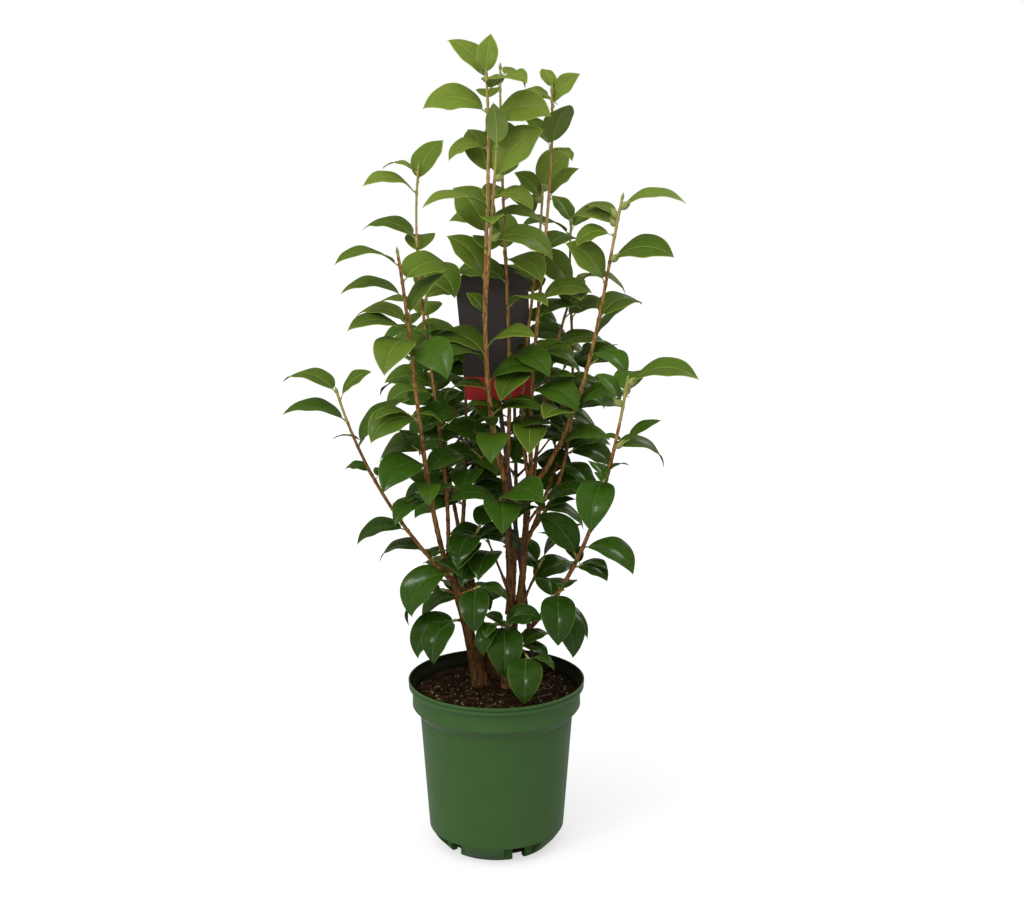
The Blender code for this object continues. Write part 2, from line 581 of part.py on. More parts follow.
class Space:
    """The room that is already taken, so that no new leaf touches anything."""

    def __init__(self):
        self.taken = []

    @staticmethod
    def box(points):
        """The lowest and highest corner of some points."""
        low = [min(point[axis] for point in points) for axis in range(3)]
        high = [max(point[axis] for point in points) for axis in range(3)]
        return low, high

    def add(self, owner, points, faces):
        """Take the room of a solid, which belongs to owner."""
        self.taken.append((owner, self.box(points), BVHTree.FromPolygons(points, faces)))

    def add_object(self, obj):
        """Take the room of an object."""
        points = [tuple(vert.co) for vert in obj.data.vertices]
        faces = [tuple(face.vertices) for face in obj.data.polygons]
        self.add(obj.name, points, faces)

    def is_free(self, owner, points, faces):
        """Whether a solid clears everything but its owner's own stem."""
        low, high = self.box(points)
        tree = None
        for name, (other_low, other_high), other in self.taken:
            if name == owner:
                continue
            if any(low[axis] > other_high[axis] or high[axis] < other_low[axis] for axis in range(3)):
                continue
            if tree is None:
                tree = BVHTree.FromPolygons(points, faces)
            if tree.overlap(other):
                return False
        return True


def blade_share(part):
    """A leaf blade's half width, as a share of its greatest, at a share of the blade's length."""
    rounded = math.sin(math.pi * min(1.0, part ** BLADE_SHIFT))
    return max(0.0, rounded) ** BLADE_FULLNESS * (1.0 - BLADE_TAPER * part)


@dataclass(frozen=True)
class Leaf:
    """Where one leaf grows, how long it is and how it bends."""

    root: Vector
    bearing: float
    length: float
    width: float
    lift: float
    droop: float
    roll: float


def leaf_rings(leaf):
    """The leaf's centre line as (point, way, side, up, share) at equal steps from root to tip."""
    whole = PETIOLE + leaf.length
    out = Vector((math.cos(math.radians(leaf.bearing)), math.sin(math.radians(leaf.bearing)), 0.0))
    across = Vector((-out.y, out.x, 0.0))
    point = leaf.root.copy()
    rings = []
    for index in range(LEAF_STEPS + 1):
        distance = whole * index / LEAF_STEPS
        share = max(0.0, (distance - PETIOLE) / leaf.length)
        angle = math.radians(leaf.lift - leaf.droop * share)
        way = out * math.cos(angle) + Vector((0.0, 0.0, math.sin(angle)))
        up = way.cross(-across)
        tilt = math.radians(leaf.roll) * min(1.0, ROLL_AT_STALK + share)
        side = across * math.cos(tilt) + up * math.sin(tilt)
        rings.append((point.copy(), way, side, side.cross(way) * -1.0, share))
        point += way * (whole / LEAF_STEPS)
    return rings


def leaf_solid(leaf, clearance=0.0):
    """Points and faces of a thin closed leaf, folded a little along its middle.

    With a clearance, the solid is fattened by it on every side.
    """
    rings = leaf_rings(leaf)
    whole = PETIOLE + leaf.length
    stations = [(PETIOLE / whole, PETIOLE_WIDTH / 2.0, PETIOLE_THICKNESS / 2.0, 0.0)]
    for share in LEAF_STATIONS:
        half = leaf.width / 2.0 * blade_share(share)
        stations.append(((PETIOLE + leaf.length * share) / whole, half, LEAF_THICKNESS / 2.0, LEAF_FOLD))
    points = [rings[0][0]]
    for place, half, thick, fold in stations:
        exact = place * LEAF_STEPS
        index = min(LEAF_STEPS - 1, int(exact))
        part = exact - index
        point = rings[index][0].lerp(rings[index + 1][0], part)
        side = rings[index][2].lerp(rings[index + 1][2], part).normalized()
        up = rings[index][3].lerp(rings[index + 1][3], part).normalized()
        half += clearance
        rise = up * (half * fold)
        points.append(point + side * half + rise)
        points.append(point + up * (thick + clearance))
        points.append(point - side * half + rise)
        points.append(point - up * (thick + clearance))
    points.append(rings[-1][0] + rings[-1][1] * clearance)
    faces = []
    for index in range(4):
        faces.append((0, 1 + index, 1 + (index + 1) % 4))
    for ring in range(len(stations) - 1):
        base = 1 + 4 * ring
        for index in range(4):
            after = (index + 1) % 4
            faces.append((base + index, base + 4 + index, base + 4 + after, base + after))
    base = 1 + 4 * (len(stations) - 1)
    for index in range(4):
        faces.append((base + index, len(points) - 1, base + (index + 1) % 4))
    return [tuple(point) for point in points], faces


def bud_solid(root, way, length, radius):
    """Points and faces of a plump pointed bud that starts at root."""
    side = way.orthogonal().normalized()
    other = way.cross(side)
    points = [root]
    for share, wide in BUD_STATIONS:
        centre = root + way * (length * share)
        for turn in range(4):
            angle = math.pi * turn / 2.0
            reach = side * math.cos(angle) + other * math.sin(angle)
            points.append(centre + reach * (radius * wide))
    points.append(root + way * length)
    faces = []
    for index in range(4):
        after = (index + 1) % 4
        faces.append((0, 1 + index, 1 + after))
        faces.append((1 + index, 5 + index, 5 + after, 1 + after))
        faces.append((5 + index, 9, 5 + after))
    return [tuple(point) for point in points], faces


def tip_bud(shoot):
    """The slim bud at the end of a shoot."""
    way = direction(shoot, 1.0)
    return bud_solid(along(shoot, 1.0) - way * TIP_BUD_SINK, way, TIP_BUD_LENGTH, TIP_BUD_RADIUS)


def axil_bud(shoot, share, bearing):
    """The flower bud between a shoot and one of its leaves."""
    out = Vector((math.cos(math.radians(bearing)), math.sin(math.radians(bearing)), 0.0))
    way = (direction(shoot, share) + out).normalized()
    return bud_solid(along(shoot, share), way, BUD_LENGTH, BUD_RADIUS)


def read_leaf(mark):
    """Split a leaf's mark into its bearing and its habit letters."""
    letters = "".join(sign for sign in mark if sign in "NESW")
    return COMPASS.index(letters) * COMPASS_STEP, mark[len(letters):]


def leaf_from_mark(shoot, mark, share, draw, turn):
    """The leaf that a mark asks for, with the seeded draws that make no two alike."""
    bearing, habits = read_leaf(mark)
    steep = habits.count("^")
    hanging = habits.count("v")
    size = (1.0 + draw[0] * SIZE_JITTER) * LARGER ** habits.count("+") * SMALLER ** habits.count("-")
    lift = LEAF_LIFT + draw[1] * LIFT_JITTER + STEEP_LIFT * steep - HANGING_DROP * hanging
    droop = (LEAF_DROOP + draw[2] * DROOP_JITTER) * STEEP_DROOP ** steep + HANGING_DROOP * hanging
    length = LEAF_LENGTH * size
    bearing += draw[3] * BEARING_JITTER + turn
    facing = LIGHT_ROLL + FACING_ROLL * habits.count("f")
    roll = draw[5] * ROLL_JITTER - facing * math.cos(math.radians(bearing))
    return Leaf(root=along(shoot, share), bearing=bearing, length=length,
                width=length * LEAF_WIDTH_SHARE * (1.0 + draw[4] * WIDTH_JITTER), lift=lift, droop=droop,
                roll=roll)


def side_shoots(shoot):
    """A shoot's side twigs, as shoots of their own that start on its centre line."""
    made = []
    for index, twig in enumerate(shoot.twigs):
        foot = along(shoot, twig.at)
        made.append(Shoot(f"{shoot.name}_twig", tuple(foot), tuple(foot + Vector(twig.reach)), twig.radii,
                          bow=(0.0, 0.0, TWIG_SAG), flushes=((TWIG_FIRST, 1.0, twig.leaves),),
                          seed=shoot.seed + TWIG_SEED * (index + 1)))
    return made


def grow_leaves(shoot, owner, space):
    """Every leaf and bud of a shoot that finds room, as a list of (points, faces)."""
    rule = random.Random(shoot.seed)
    grown = []
    for first, last, marks in shoot.flushes:
        names = marks.split()
        for index, mark in enumerate(names):
            draw = [rule.uniform(-1.0, 1.0) for _ in range(6)]
            nudge = rule.uniform(-NODE_JITTER, NODE_JITTER)
            step = (last - first) / max(1, len(names) - 1)
            share = min(last, max(first, first + step * (index + nudge)))
            for turn in RETRY_TURNS:
                leaf = leaf_from_mark(shoot, mark, share, draw, turn)
                guard, faces = leaf_solid(leaf, LEAF_CLEARANCE)
                if space.is_free(owner, guard, faces):
                    points, faces = leaf_solid(leaf)
                    space.add(owner + "_leaf", points, faces)
                    grown.append((points, faces))
                    break
            else:
                continue
            if "b" in mark:
                grown.append(axil_bud(shoot, share, leaf.bearing))
                space.add(owner, *grown[-1])
    grown.append(tip_bud(shoot))
    return grown


def join_spray(stem, twigs, grown):
    """Join a spray's stem, side twigs, leaves and buds into one closed solid."""
    parts = bpy.data.collections.new("parts")
    bpy.context.scene.collection.children.link(parts)
    for mesh in twigs:
        parts.objects.link(bpy.data.objects.new("twig", mesh))
    for points, faces in grown:
        parts.objects.link(bpy.data.objects.new("leaf", mesh_from("leaf", points, faces)))
    apply_boolean(stem, "UNION", "EXACT", collection=parts)
    drop_collection(parts)
    largest_piece(stem.data)


def build_plant(space):
    """Trunks, limbs, boughs and sprays, each its own solid."""
    bark = {}
    carried = {}
    for limb in TRUNKS + LIMBS:
        finish = material(limb.name + "_bark", BARK, 0.85)
        obj = add_object(limb.name, limb_mesh(limb, 0.0, 1.0, LIMB_SIDES, LIMB_STEP), finish)
        seat_on(obj, [carried[name] for name in limb.on])
        carried[limb.name] = (limb, 1.0)
        bark[limb.name] = obj
    stems = []
    for shoot in SHOOTS:
        seats = [carried[name] for name in shoot.on]
        half_gap = GAP / 2.0 / limb_length(shoot)
        if shoot.bare > 0.0:
            name = "bough_" + shoot.name
            mesh = limb_mesh(shoot, 0.0, shoot.bare - half_gap, BOUGH_SIDES, LIMB_STEP)
            bough = add_object(name, mesh, material(name + "_bark", TWIG, 0.8))
            seat_on(bough, seats)
            carried[name] = (shoot, shoot.bare)
            bark[name] = bough
        first = shoot.bare + half_gap if shoot.bare > 0.0 else 0.0
        owner = "spray_" + shoot.name
        stem = add_object(owner, limb_mesh(shoot, first, 1.0, TWIG_SIDES, TWIG_STEP),
                          material(owner + "_green", GREEN, 0.35))
        if shoot.bare == 0.0:
            seat_on(stem, seats)
        twigs = [limb_mesh(twig, 0.0, 1.0, TWIG_SIDES, TWIG_STEP) for twig in side_shoots(shoot)]
        stems.append((shoot, owner, stem, twigs))
    for obj in bark.values():
        space.add_object(obj)
    for shoot, owner, stem, twigs in stems:
        space.add_object(stem)
        space.add(owner, *tip_bud(shoot))
        for twig, mesh in zip(side_shoots(shoot), twigs):
            points = [tuple(vert.co) for vert in mesh.vertices]
            faces = [tuple(face.vertices) for face in mesh.polygons]
            space.add(owner, points, faces)
            space.add(owner, *tip_bud(twig))
    for shoot, owner, stem, twigs in stems:
        grown = grow_leaves(shoot, owner, space)
        for twig in side_shoots(shoot):
            grown += grow_leaves(twig, owner, space)
        join_spray(stem, twigs, grown)


def main():
    """Build the pot, the soil, the tag and the plant."""
    clear_scene()
    space = Space()
    for obj in (build_pot(), build_soil(), build_tag()):
        space.add_object(obj)
    build_plant(space)


main()
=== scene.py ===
"""The looks of a potted camellia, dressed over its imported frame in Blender 4.5.

The frame gives the pot, the soil, the care tag, the trunks and the boughs at their real places. Each
leafy spray is grown again here by the same seeded rule as the solids, with true leaf blades, petioles,
buds and finer spurs, and every limb gets a mesh with the relief of its bark.
"""
import json
import logging
import math
import random
from dataclasses import dataclass, field
from enum import Enum

import bmesh
import bpy
import numpy as np
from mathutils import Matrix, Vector, noise
from mathutils.bvhtree import BVHTree

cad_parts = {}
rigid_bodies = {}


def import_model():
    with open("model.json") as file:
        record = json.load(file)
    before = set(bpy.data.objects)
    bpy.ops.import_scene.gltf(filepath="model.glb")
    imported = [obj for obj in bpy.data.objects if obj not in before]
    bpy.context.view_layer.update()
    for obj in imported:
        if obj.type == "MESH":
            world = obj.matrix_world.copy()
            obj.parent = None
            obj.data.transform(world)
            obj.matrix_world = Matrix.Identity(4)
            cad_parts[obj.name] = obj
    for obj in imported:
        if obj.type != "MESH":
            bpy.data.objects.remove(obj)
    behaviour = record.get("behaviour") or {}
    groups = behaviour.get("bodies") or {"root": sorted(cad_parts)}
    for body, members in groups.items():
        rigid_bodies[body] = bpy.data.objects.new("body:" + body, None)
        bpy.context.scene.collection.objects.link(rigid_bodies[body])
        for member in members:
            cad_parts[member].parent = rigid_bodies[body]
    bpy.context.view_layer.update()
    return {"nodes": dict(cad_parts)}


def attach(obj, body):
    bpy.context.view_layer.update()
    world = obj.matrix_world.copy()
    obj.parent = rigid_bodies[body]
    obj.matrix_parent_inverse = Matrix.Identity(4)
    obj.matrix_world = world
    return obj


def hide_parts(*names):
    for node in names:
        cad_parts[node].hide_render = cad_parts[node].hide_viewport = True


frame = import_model()

LOG = logging.getLogger("camellia")
BODY = "root"

Triple = tuple[float, float, float]
Pair = tuple[float, float]
Faces = tuple[np.ndarray, int]
Solid = tuple[list[Triple], list[tuple[int, ...]]]
Piece = bpy.types.Object
Material = bpy.types.Material
Tree = bpy.types.NodeTree
Socket = bpy.types.NodeSocket

# A full turn in radians, and the rounded one that turns the buds and shifts the edges' waves.
FULL_TURN = 2.0 * math.pi
ANY_TURN = 6.28
# How near to a blade's rib or edge a point counts as on it, as a share of the half width.
ROUNDING = 0.01
# How much of a side next to a corner a fillet may take.
FILLET_ROOM = 0.48


class Slot(Enum):
    """The record's material slots."""

    POT = "pot_plastic"
    SOIL = "potting_soil"
    TAG = "tag_plastic"
    OLD_BARK = "old_bark"
    YOUNG_BARK = "young_bark"
    FOLIAGE = "foliage"


class Stand(Enum):
    """The parts of the crown whose leaves, stems and buds are joined, each kind apart."""

    LEFT = "left"
    CENTRE = "centre"
    RIGHT = "right"
    FAR_RIGHT = "far_right"
    REAR = "rear"
    LOW = "low"


class Shade(Enum):
    """The greens that are dealt out to the sprays, from the shaded inside to the sunlit tips: partly the real
    tones of shade and sun leaves, partly painted shade and painted light.
    """

    DEEP = 0
    DARK = 1
    LEAFY = 2
    MIDDLE = 3
    LIGHT = 4
    PALE = 5


# The growing rule, with the solids' own values, in metres and degrees.
S_BEND = 10.39
LENGTH_STEPS = 24
DIRECTION_STEP = 0.002
FLARE_REACH = 0.022
ROOT_LOBES = 3
LOBE_SHARE = 0.35
LOBE_FADE = 9.0
TWIG_SIDES = 4
TWIG_STEP = 0.048
LEAF_LENGTH = 0.068
LEAF_WIDTH_SHARE = 0.64
LEAF_THICKNESS = 0.0012
LEAF_FOLD = 0.13
LEAF_STATIONS = (0.25, 0.63)
BLADE_SHIFT = 0.82
BLADE_FULLNESS = 0.72
BLADE_TAPER = 0.18
LEAF_LIFT = 42.0
LEAF_DROOP = 84.0
LIGHT_ROLL = 14.0
FACING_ROLL = 26.0
ROLL_AT_STALK = 0.4
LARGER = 1.16
SMALLER = 0.7
STEEP_LIFT = 26.0
STEEP_DROOP = 0.68
HANGING_DROP = 22.0
HANGING_DROOP = 14.0
SIZE_JITTER = 0.04
WIDTH_JITTER = 0.06
LIFT_JITTER = 4.0
DROOP_JITTER = 5.0
ROLL_JITTER = 9.0
PETIOLE = 0.009
PETIOLE_WIDTH = 0.0022
PETIOLE_THICKNESS = 0.0016
LEAF_CLEARANCE = 0.0012
LEAF_STEPS = 12
NODE_JITTER = 0.06
BEARING_JITTER = 4.0
RETRY_TURNS = (0.0, 14.0, -14.0, 28.0, -28.0, 42.0, -42.0, 60.0, -60.0)
BUD_LENGTH = 0.015
BUD_RADIUS = 0.005
TIP_BUD_LENGTH = 0.011
TIP_BUD_RADIUS = 0.0021
TIP_BUD_SINK = 0.002
TWIG_FIRST = 0.35
TWIG_SAG = -0.003
TWIG_SEED = 100

# The compass points that a leaf may grow to, anticlockwise, and the degrees between them.
COMPASS = ("E", "ENE", "NE", "NNE", "N", "NNW", "NW", "WNW", "W", "WSW", "SW", "SSW", "S", "SSE", "SE", "ESE")
COMPASS_STEP = 22.5


@dataclass(frozen=True)
class Limb:
    """A tapering limb from foot to tip, bent sideways by bow at half length and by sway as an S."""

    name: str
    foot: Triple
    tip: Triple
    radii: Pair
    bow: Triple = (0.0, 0.0, 0.0)
    sway: Triple = (0.0, 0.0, 0.0)
    flare: float = 0.0

    def along(self, share: float) -> Vector:
        """The point of the centre line at a share of its length.

        Args:
            share: 0 at the foot, 1 at the tip.

        Returns:
            The point, in metres.
        """
        bend = Vector(self.bow) * (4.0 * share * (1.0 - share))
        swing = Vector(self.sway) * (S_BEND * share * (1.0 - share) * (1.0 - 2.0 * share))
        return Vector(self.foot).lerp(Vector(self.tip), share) + bend + swing

    def direction(self, share: float) -> Vector:
        """The unit vector along the centre line at a share of its length."""
        return (self.along(share + DIRECTION_STEP) - self.along(share - DIRECTION_STEP)).normalized()

    def length(self) -> float:
        """The length of the centre line in metres."""
        points = [self.along(index / LENGTH_STEPS) for index in range(LENGTH_STEPS + 1)]
        return sum((second - first).length for first, second in zip(points, points[1:]))

    def radius(self, share: float, length: float) -> float:
        """The radius at a share of the length, with the flare at the root."""
        straight = self.radii[0] + (self.radii[1] - self.radii[0]) * share
        return straight + self.flare * math.exp(-share * length / FLARE_REACH)


@dataclass(frozen=True)
class Twig:
    """A side twig: the share of its shoot where it leaves, how far it reaches, and its leaves."""

    at: float
    reach: Triple
    leaves: str
    radii: Pair = (0.0017, 0.0012)


@dataclass(frozen=True)
class Shoot(Limb):
    """A limb whose upper part, past the share called bare, carries flushes of leaves.

    A flush is two shares of the shoot's length, and the leaves that are evenly spaced between
    them. Each leaf is a compass point for the side it grows to, E being the viewer's right and
    S the front. Marks after it: + larger, - smaller, ^ steeper, v hanging, f turned to face the
    front, b with a flower bud in its axil. A mark written twice counts twice.
    """

    bare: float = 0.0
    flushes: tuple[str, ...] = ()
    seed: int = 1
    twigs: tuple[Twig, ...] = ()

    def stand(self) -> Stand:
        """The part of the crown that the shoot belongs to."""
        for start, stand in (("low", Stand.LOW), ("thin", Stand.LOW), ("back", Stand.REAR),
                             ("leader", Stand.CENTRE), ("outer", Stand.FAR_RIGHT),
                             ("far_right", Stand.FAR_RIGHT), ("rear", Stand.FAR_RIGHT)):
            if self.name.startswith(start):
                return stand
        return Stand.LEFT if "left" in self.name else Stand.RIGHT

    def side_shoots(self) -> list["Shoot"]:
        """The side twigs, as shoots of their own that start on the centre line."""
        made = []
        for index, twig in enumerate(self.twigs):
            foot = self.along(twig.at)
            tip = foot + Vector(twig.reach)
            made.append(Shoot(f"{self.name}_twig", tuple(foot), tuple(tip), twig.radii,
                              bow=(0.0, 0.0, TWIG_SAG), flushes=(f"{TWIG_FIRST} 1.0 {twig.leaves}",),
                              seed=self.seed + TWIG_SEED * (index + 1)))
        return made

    def nodes(self) -> list[str]:
        """The names of the solids that stand for this shoot in the frame."""
        names = ["spray_" + self.name]
        if self.bare > 0.0:
            names.append("bough_" + self.name)
        return names


TRUNKS = (
    Limb("trunk_left", (-0.022, 0.015, 0.2073), (-0.065, 0.0, 0.388), (0.009, 0.0046), flare=0.004,
         bow=(0.004, 0.0, 0.0)),
    Limb("trunk_left_back", (-0.007, 0.042, 0.2073), (-0.047, 0.051, 0.396), (0.0078, 0.0042), flare=0.0035,
         bow=(0.001, 0.0, 0.0)),
    Limb("trunk_right", (0.017, 0.009, 0.2073), (0.022, 0.022, 0.312), (0.0092, 0.0074), flare=0.0045,
         bow=(-0.001, 0.0, 0.0)),
)
LIMBS = (
    Limb("limb_centre", (0.018, 0.019, 0.306), (0.011, 0.01, 0.496), (0.0052, 0.0042),
         bow=(0.002, 0.0, 0.0)),
    Limb("limb_right", (0.0262, 0.0235, 0.306), (0.046, 0.032, 0.486), (0.0046, 0.004),
         bow=(0.001, 0.0, 0.0), sway=(0.002, 0.0, 0.0)),
)
SHOOTS = (
    Shoot("front_left", (-0.0655, 0.001, 0.38), (-0.114, -0.1, 0.786), (0.0034, 0.0018), bare=0.17, seed=3,
          bow=(-0.005, 0.002, 0.0), sway=(-0.0025, 0.0, 0.0), flushes=("0.21 0.27 SWv N S-v",
          "0.3 0.37 NEf SW+vf WNW+vf", "0.45 0.51 NEf WSWvf N-", "0.59 0.66 WNW-v NE SW-",
          "0.71 0.805 SE+vff SSW+v WSW+ N- WNW ENE^", "0.865 0.96 W+ NE+f WSW+")),
    Shoot("tall_left", (-0.0625, 0.004, 0.38), (-0.099, 0.08, 0.876), (0.0027, 0.0014), bare=0.3, seed=4,
          bow=(-0.003, 0.0, -0.001), sway=(0.007, 0.0, 0.0), flushes=("0.34 0.43 Evf N Wvf",
          "0.48 0.56 NNE^ WNWf SEv", "0.62 0.67 N E-f", "0.745 0.825 SE+vf N WNW+",
          "0.94 0.99 WSW NE^ NW-")),
    Shoot("far_left", (-0.06, 0.001, 0.358), (-0.195, -0.045, 0.61), (0.0028, 0.0016), bare=0.07, seed=5,
          bow=(-0.015, 0.0, -0.008), flushes=("0.11 0.17 E-v WNWv", "0.295 0.34 Wv N-",
          "0.57 0.6 NNE-- WNW--", "0.745 0.745 ENE+^", "0.863 0.863 W+", "0.965 0.995 E-^f WNW+")),
    Shoot("inner_left", (-0.047, 0.0515, 0.388), (-0.046, 0.13, 0.664), (0.003, 0.0015), bare=0.14, seed=6,
          bow=(0.006, 0.0, 0.0), flushes=("0.19 1.0 Wvf Evf SWv N SEvf Wvf S-v Ef N SWf Ef NW Wf E^f",),
          twigs=(Twig(0.3, (0.03, -0.034, 0.05), "Sv Evf Wvf S"),
          Twig(0.52, (-0.04, 0.018, 0.055), "Wvf N Sv Wf"))),
    Shoot("leader", (0.011, 0.01, 0.488), (-0.01, -0.04, 0.991), (0.0038, 0.0015), bare=0.08, seed=7,
          bow=(-0.013, 0.001, -0.002), sway=(-0.006, 0.0, 0.0), flushes=("0.12 0.17 Sv N E",
          "0.235 0.26 WNWv NE+", "0.305 0.345 WSW NW+ ESE", "0.422 0.422 WNW--^f", "0.515 0.515 WNW^f",
          "0.62 0.7 NW+^ff NNE", "0.765 0.83 NNW+^f W-vf", "0.888 0.888 ESE+ff", "0.912 0.962 W+f NW-f SE",
          "0.985 0.999 WNW^f NNE-^^ SSE--^^"),
          twigs=(Twig(0.45, (0.015, -0.051, 0.192), "N E+vbf S- WSW++ E-vf E+^fbf N SSW-^^",
          radii=(0.0024, 0.0015)),)),
    Shoot("leader_back", (0.012, 0.013, 0.47), (0.006, 0.04, 1.0), (0.0028, 0.0013), bare=0.26, seed=9,
          bow=(0.005, 0.004, -0.001), sway=(0.003, 0.0, 0.0), flushes=("0.33 0.62 Evf SWv E NWf Evf Wf",
          "0.7 0.79 NEv N S^", "0.87 0.953 N E NNW-f", "0.985 0.985 NE-vf")),
    Shoot("tall_right", (0.046, 0.032, 0.478), (0.069, 0.01, 0.972), (0.0029, 0.0014), bare=0.1, seed=10,
          bow=(-0.002, 0.0, 0.0), sway=(-0.0045, 0.0, 0.0), flushes=("0.15 0.48 Sv Wvf Evf SWv SEv Wf N Ef",
          "0.6 0.735 NE W E-^f", "0.855 0.865 SE--v WNW-^f SSE^", "0.96 0.998 E-^ff NW- NNW--^")),
    Shoot("mid_right", (0.0445, 0.032, 0.47), (0.059, 0.054, 0.852), (0.0027, 0.0014), bare=0.2, seed=11,
          bow=(-0.012, 0.006, 0.0), sway=(-0.005, 0.0, 0.0), flushes=("0.26 0.52 Wvf N SWv Evf Wf",
          "0.645 0.695 NW NW+", "0.8 0.8 N", "0.955 0.995 W-^ffb NW-f NE^ffb")),
    Shoot("inner_right", (0.047, 0.035, 0.456), (0.104, 0.08, 0.736), (0.0027, 0.0015), bare=0.2, seed=12,
          bow=(-0.01, 0.002, 0.003), flushes=("0.25 0.58 E+v N ESE+v S E+v W N", "0.66 0.78 E W-f",
          "0.82 1.0 E S W^ff Ebv"), twigs=(Twig(0.42, (0.026, -0.02, 0.052), "E S W E"),)),
    Shoot("outer_right", (0.047, 0.03, 0.472), (0.155, -0.01, 0.844), (0.0031, 0.0017), bare=0.12, seed=13,
          bow=(0.019, 0.001, -0.008), sway=(0.004, 0.0, -0.003), flushes=("0.17 0.36 E W S E N",
          "0.458 0.495 ENE-v SEv", "0.613 0.613 NE+", "0.725 0.725 W^ff", "0.797 0.797 ESE+bf",
          "0.88 0.965 W-vf NW+fb NNW-b E+b")),
    Shoot("rear_right", (0.033, 0.029, 0.4), (0.098, 0.12, 0.806), (0.0026, 0.0014), bare=0.26, seed=14,
          bow=(0.034, 0.004, -0.013), sway=(0.01, 0.0, -0.007), flushes=("0.31 0.63 Evf Wvf N Ef SWv Ef Wf",
          "0.71 0.815 NE+ N W-^f", "0.96 0.99 WSW NE- NW-^"),
          twigs=(Twig(0.42, (-0.036, 0.012, 0.058), "W N W"),)),
    Shoot("far_right", (0.019, 0.018, 0.262), (0.159, -0.095, 0.633), (0.0034, 0.0018), bare=0.09, seed=15,
          bow=(0.03, 0.002, -0.013), sway=(0.003, 0.0, -0.003), flushes=("0.14 0.25 Ev SE+vv N S+vv",
          "0.35 0.43 ESE-vf WNW^f ESE+v", "0.672 0.672 SSW+vv", "0.777 0.777 ENE+vb",
          "0.915 0.985 W-^fb Nb ESE++b")),
    Shoot("back_left", (-0.033, 0.048, 0.33), (-0.095, 0.165, 0.7), (0.003, 0.0015), bare=0.22, seed=16,
          bow=(-0.008, 0.012, 0.0), flushes=("0.27 1.0 N Wvf E NW SEv NE Wf N Ef W NE SWv W N^",),
          twigs=(Twig(0.45, (0.04, 0.01, 0.055), "E N W"),)),
    Shoot("back_centre", (0.02, 0.023, 0.29), (0.01, 0.185, 0.76), (0.0032, 0.0015), bare=0.26, seed=17,
          bow=(0.01, 0.02, -0.01), flushes=("0.31 1.0 N Ef Wvf NE SWv E N Wf SEf NW NE W N E N^",),
          twigs=(Twig(0.4, (0.045, 0.012, 0.05), "E N E"),)),
    Shoot("back_right", (0.036, 0.028, 0.39), (0.13, 0.165, 0.64), (0.0028, 0.0015), bare=0.24, seed=38,
          bow=(0.004, 0.016, -0.01), flushes=("0.29 1.0 Ef N SEv E N Wf E NE SWf N W E^",),
          twigs=(Twig(0.45, (-0.01, 0.04, 0.05), "N W E"),)),
    Shoot("low_rear_right", (0.025, 0.026, 0.296), (0.06, 0.074, 0.362), (0.0022, 0.0014), bare=0.45,
          seed=19, flushes=("0.6 1.0 Ef SEv N W E^",)),
    Shoot("thin_centre", (0.0165, 0.02, 0.335), (-0.01, 0.046, 0.394), (0.002, 0.0013), bare=0.3, seed=20,
          flushes=("0.62 1.0 Wvf SEv W-f",)),
    Shoot("low_centre", (0.012, 0.011, 0.446), (0.006, -0.016, 0.466), (0.002, 0.0013), seed=26,
          flushes=("0.55 1.0 W S+v SE+f",)),
    Shoot("low_rise", (0.04, 0.028, 0.425), (0.062, 0.008, 0.462), (0.002, 0.0013), seed=27,
          flushes=("0.45 1.0 Ev Wv E+ N^",)),
    Shoot("low_front", (0.0185, 0.0135, 0.29), (0.0, -0.026, 0.306), (0.0022, 0.0014), seed=29,
          flushes=("0.45 1.0 SE+vv E-ff SSE-vv SSW--v",)),
    Shoot("low_middle", (-0.0425, 0.047, 0.372), (-0.022, 0.012, 0.424), (0.0022, 0.0013), seed=30,
          flushes=("0.35 1.0 E+vf SWvf Evf SSWv NE Ef",)),
    Shoot("low_right", (0.019, 0.008, 0.262), (0.041, -0.05, 0.268), (0.0024, 0.0015), seed=21,
          bow=(0.0, 0.0, 0.006), flushes=("0.25 0.6 ESE-v NE-", "0.9 1.0 Svv ESE--v")),
    Shoot("low_left_upper", (-0.0605, 0.004, 0.368), (-0.057, -0.013, 0.369), (0.0022, 0.0014), seed=22,
          flushes=("0.9 0.9 W+vvff",)),
    Shoot("low_left_front", (-0.0515, 0.0035, 0.335), (-0.025, -0.015, 0.351), (0.002, 0.0013), seed=28,
          flushes=("0.8 1.0 E-v Svv",)),
    Shoot("low_left_middle", (-0.053, 0.004, 0.338), (-0.066, -0.002, 0.344), (0.0018, 0.0012), seed=23,
          flushes=("0.9 0.9 W+vv",)),
    Shoot("low_left", (-0.044, 0.008, 0.3), (-0.052, -0.004, 0.304), (0.002, 0.0013), seed=24,
          flushes=("0.45 0.9 W+vvf SWvv",)),
    Shoot("low_rear", (-0.016, 0.046, 0.262), (-0.05, 0.095, 0.33), (0.0022, 0.0014), bare=0.28, seed=25,
          flushes=("0.45 1.0 NE N Wv E-v N NW",)),
)


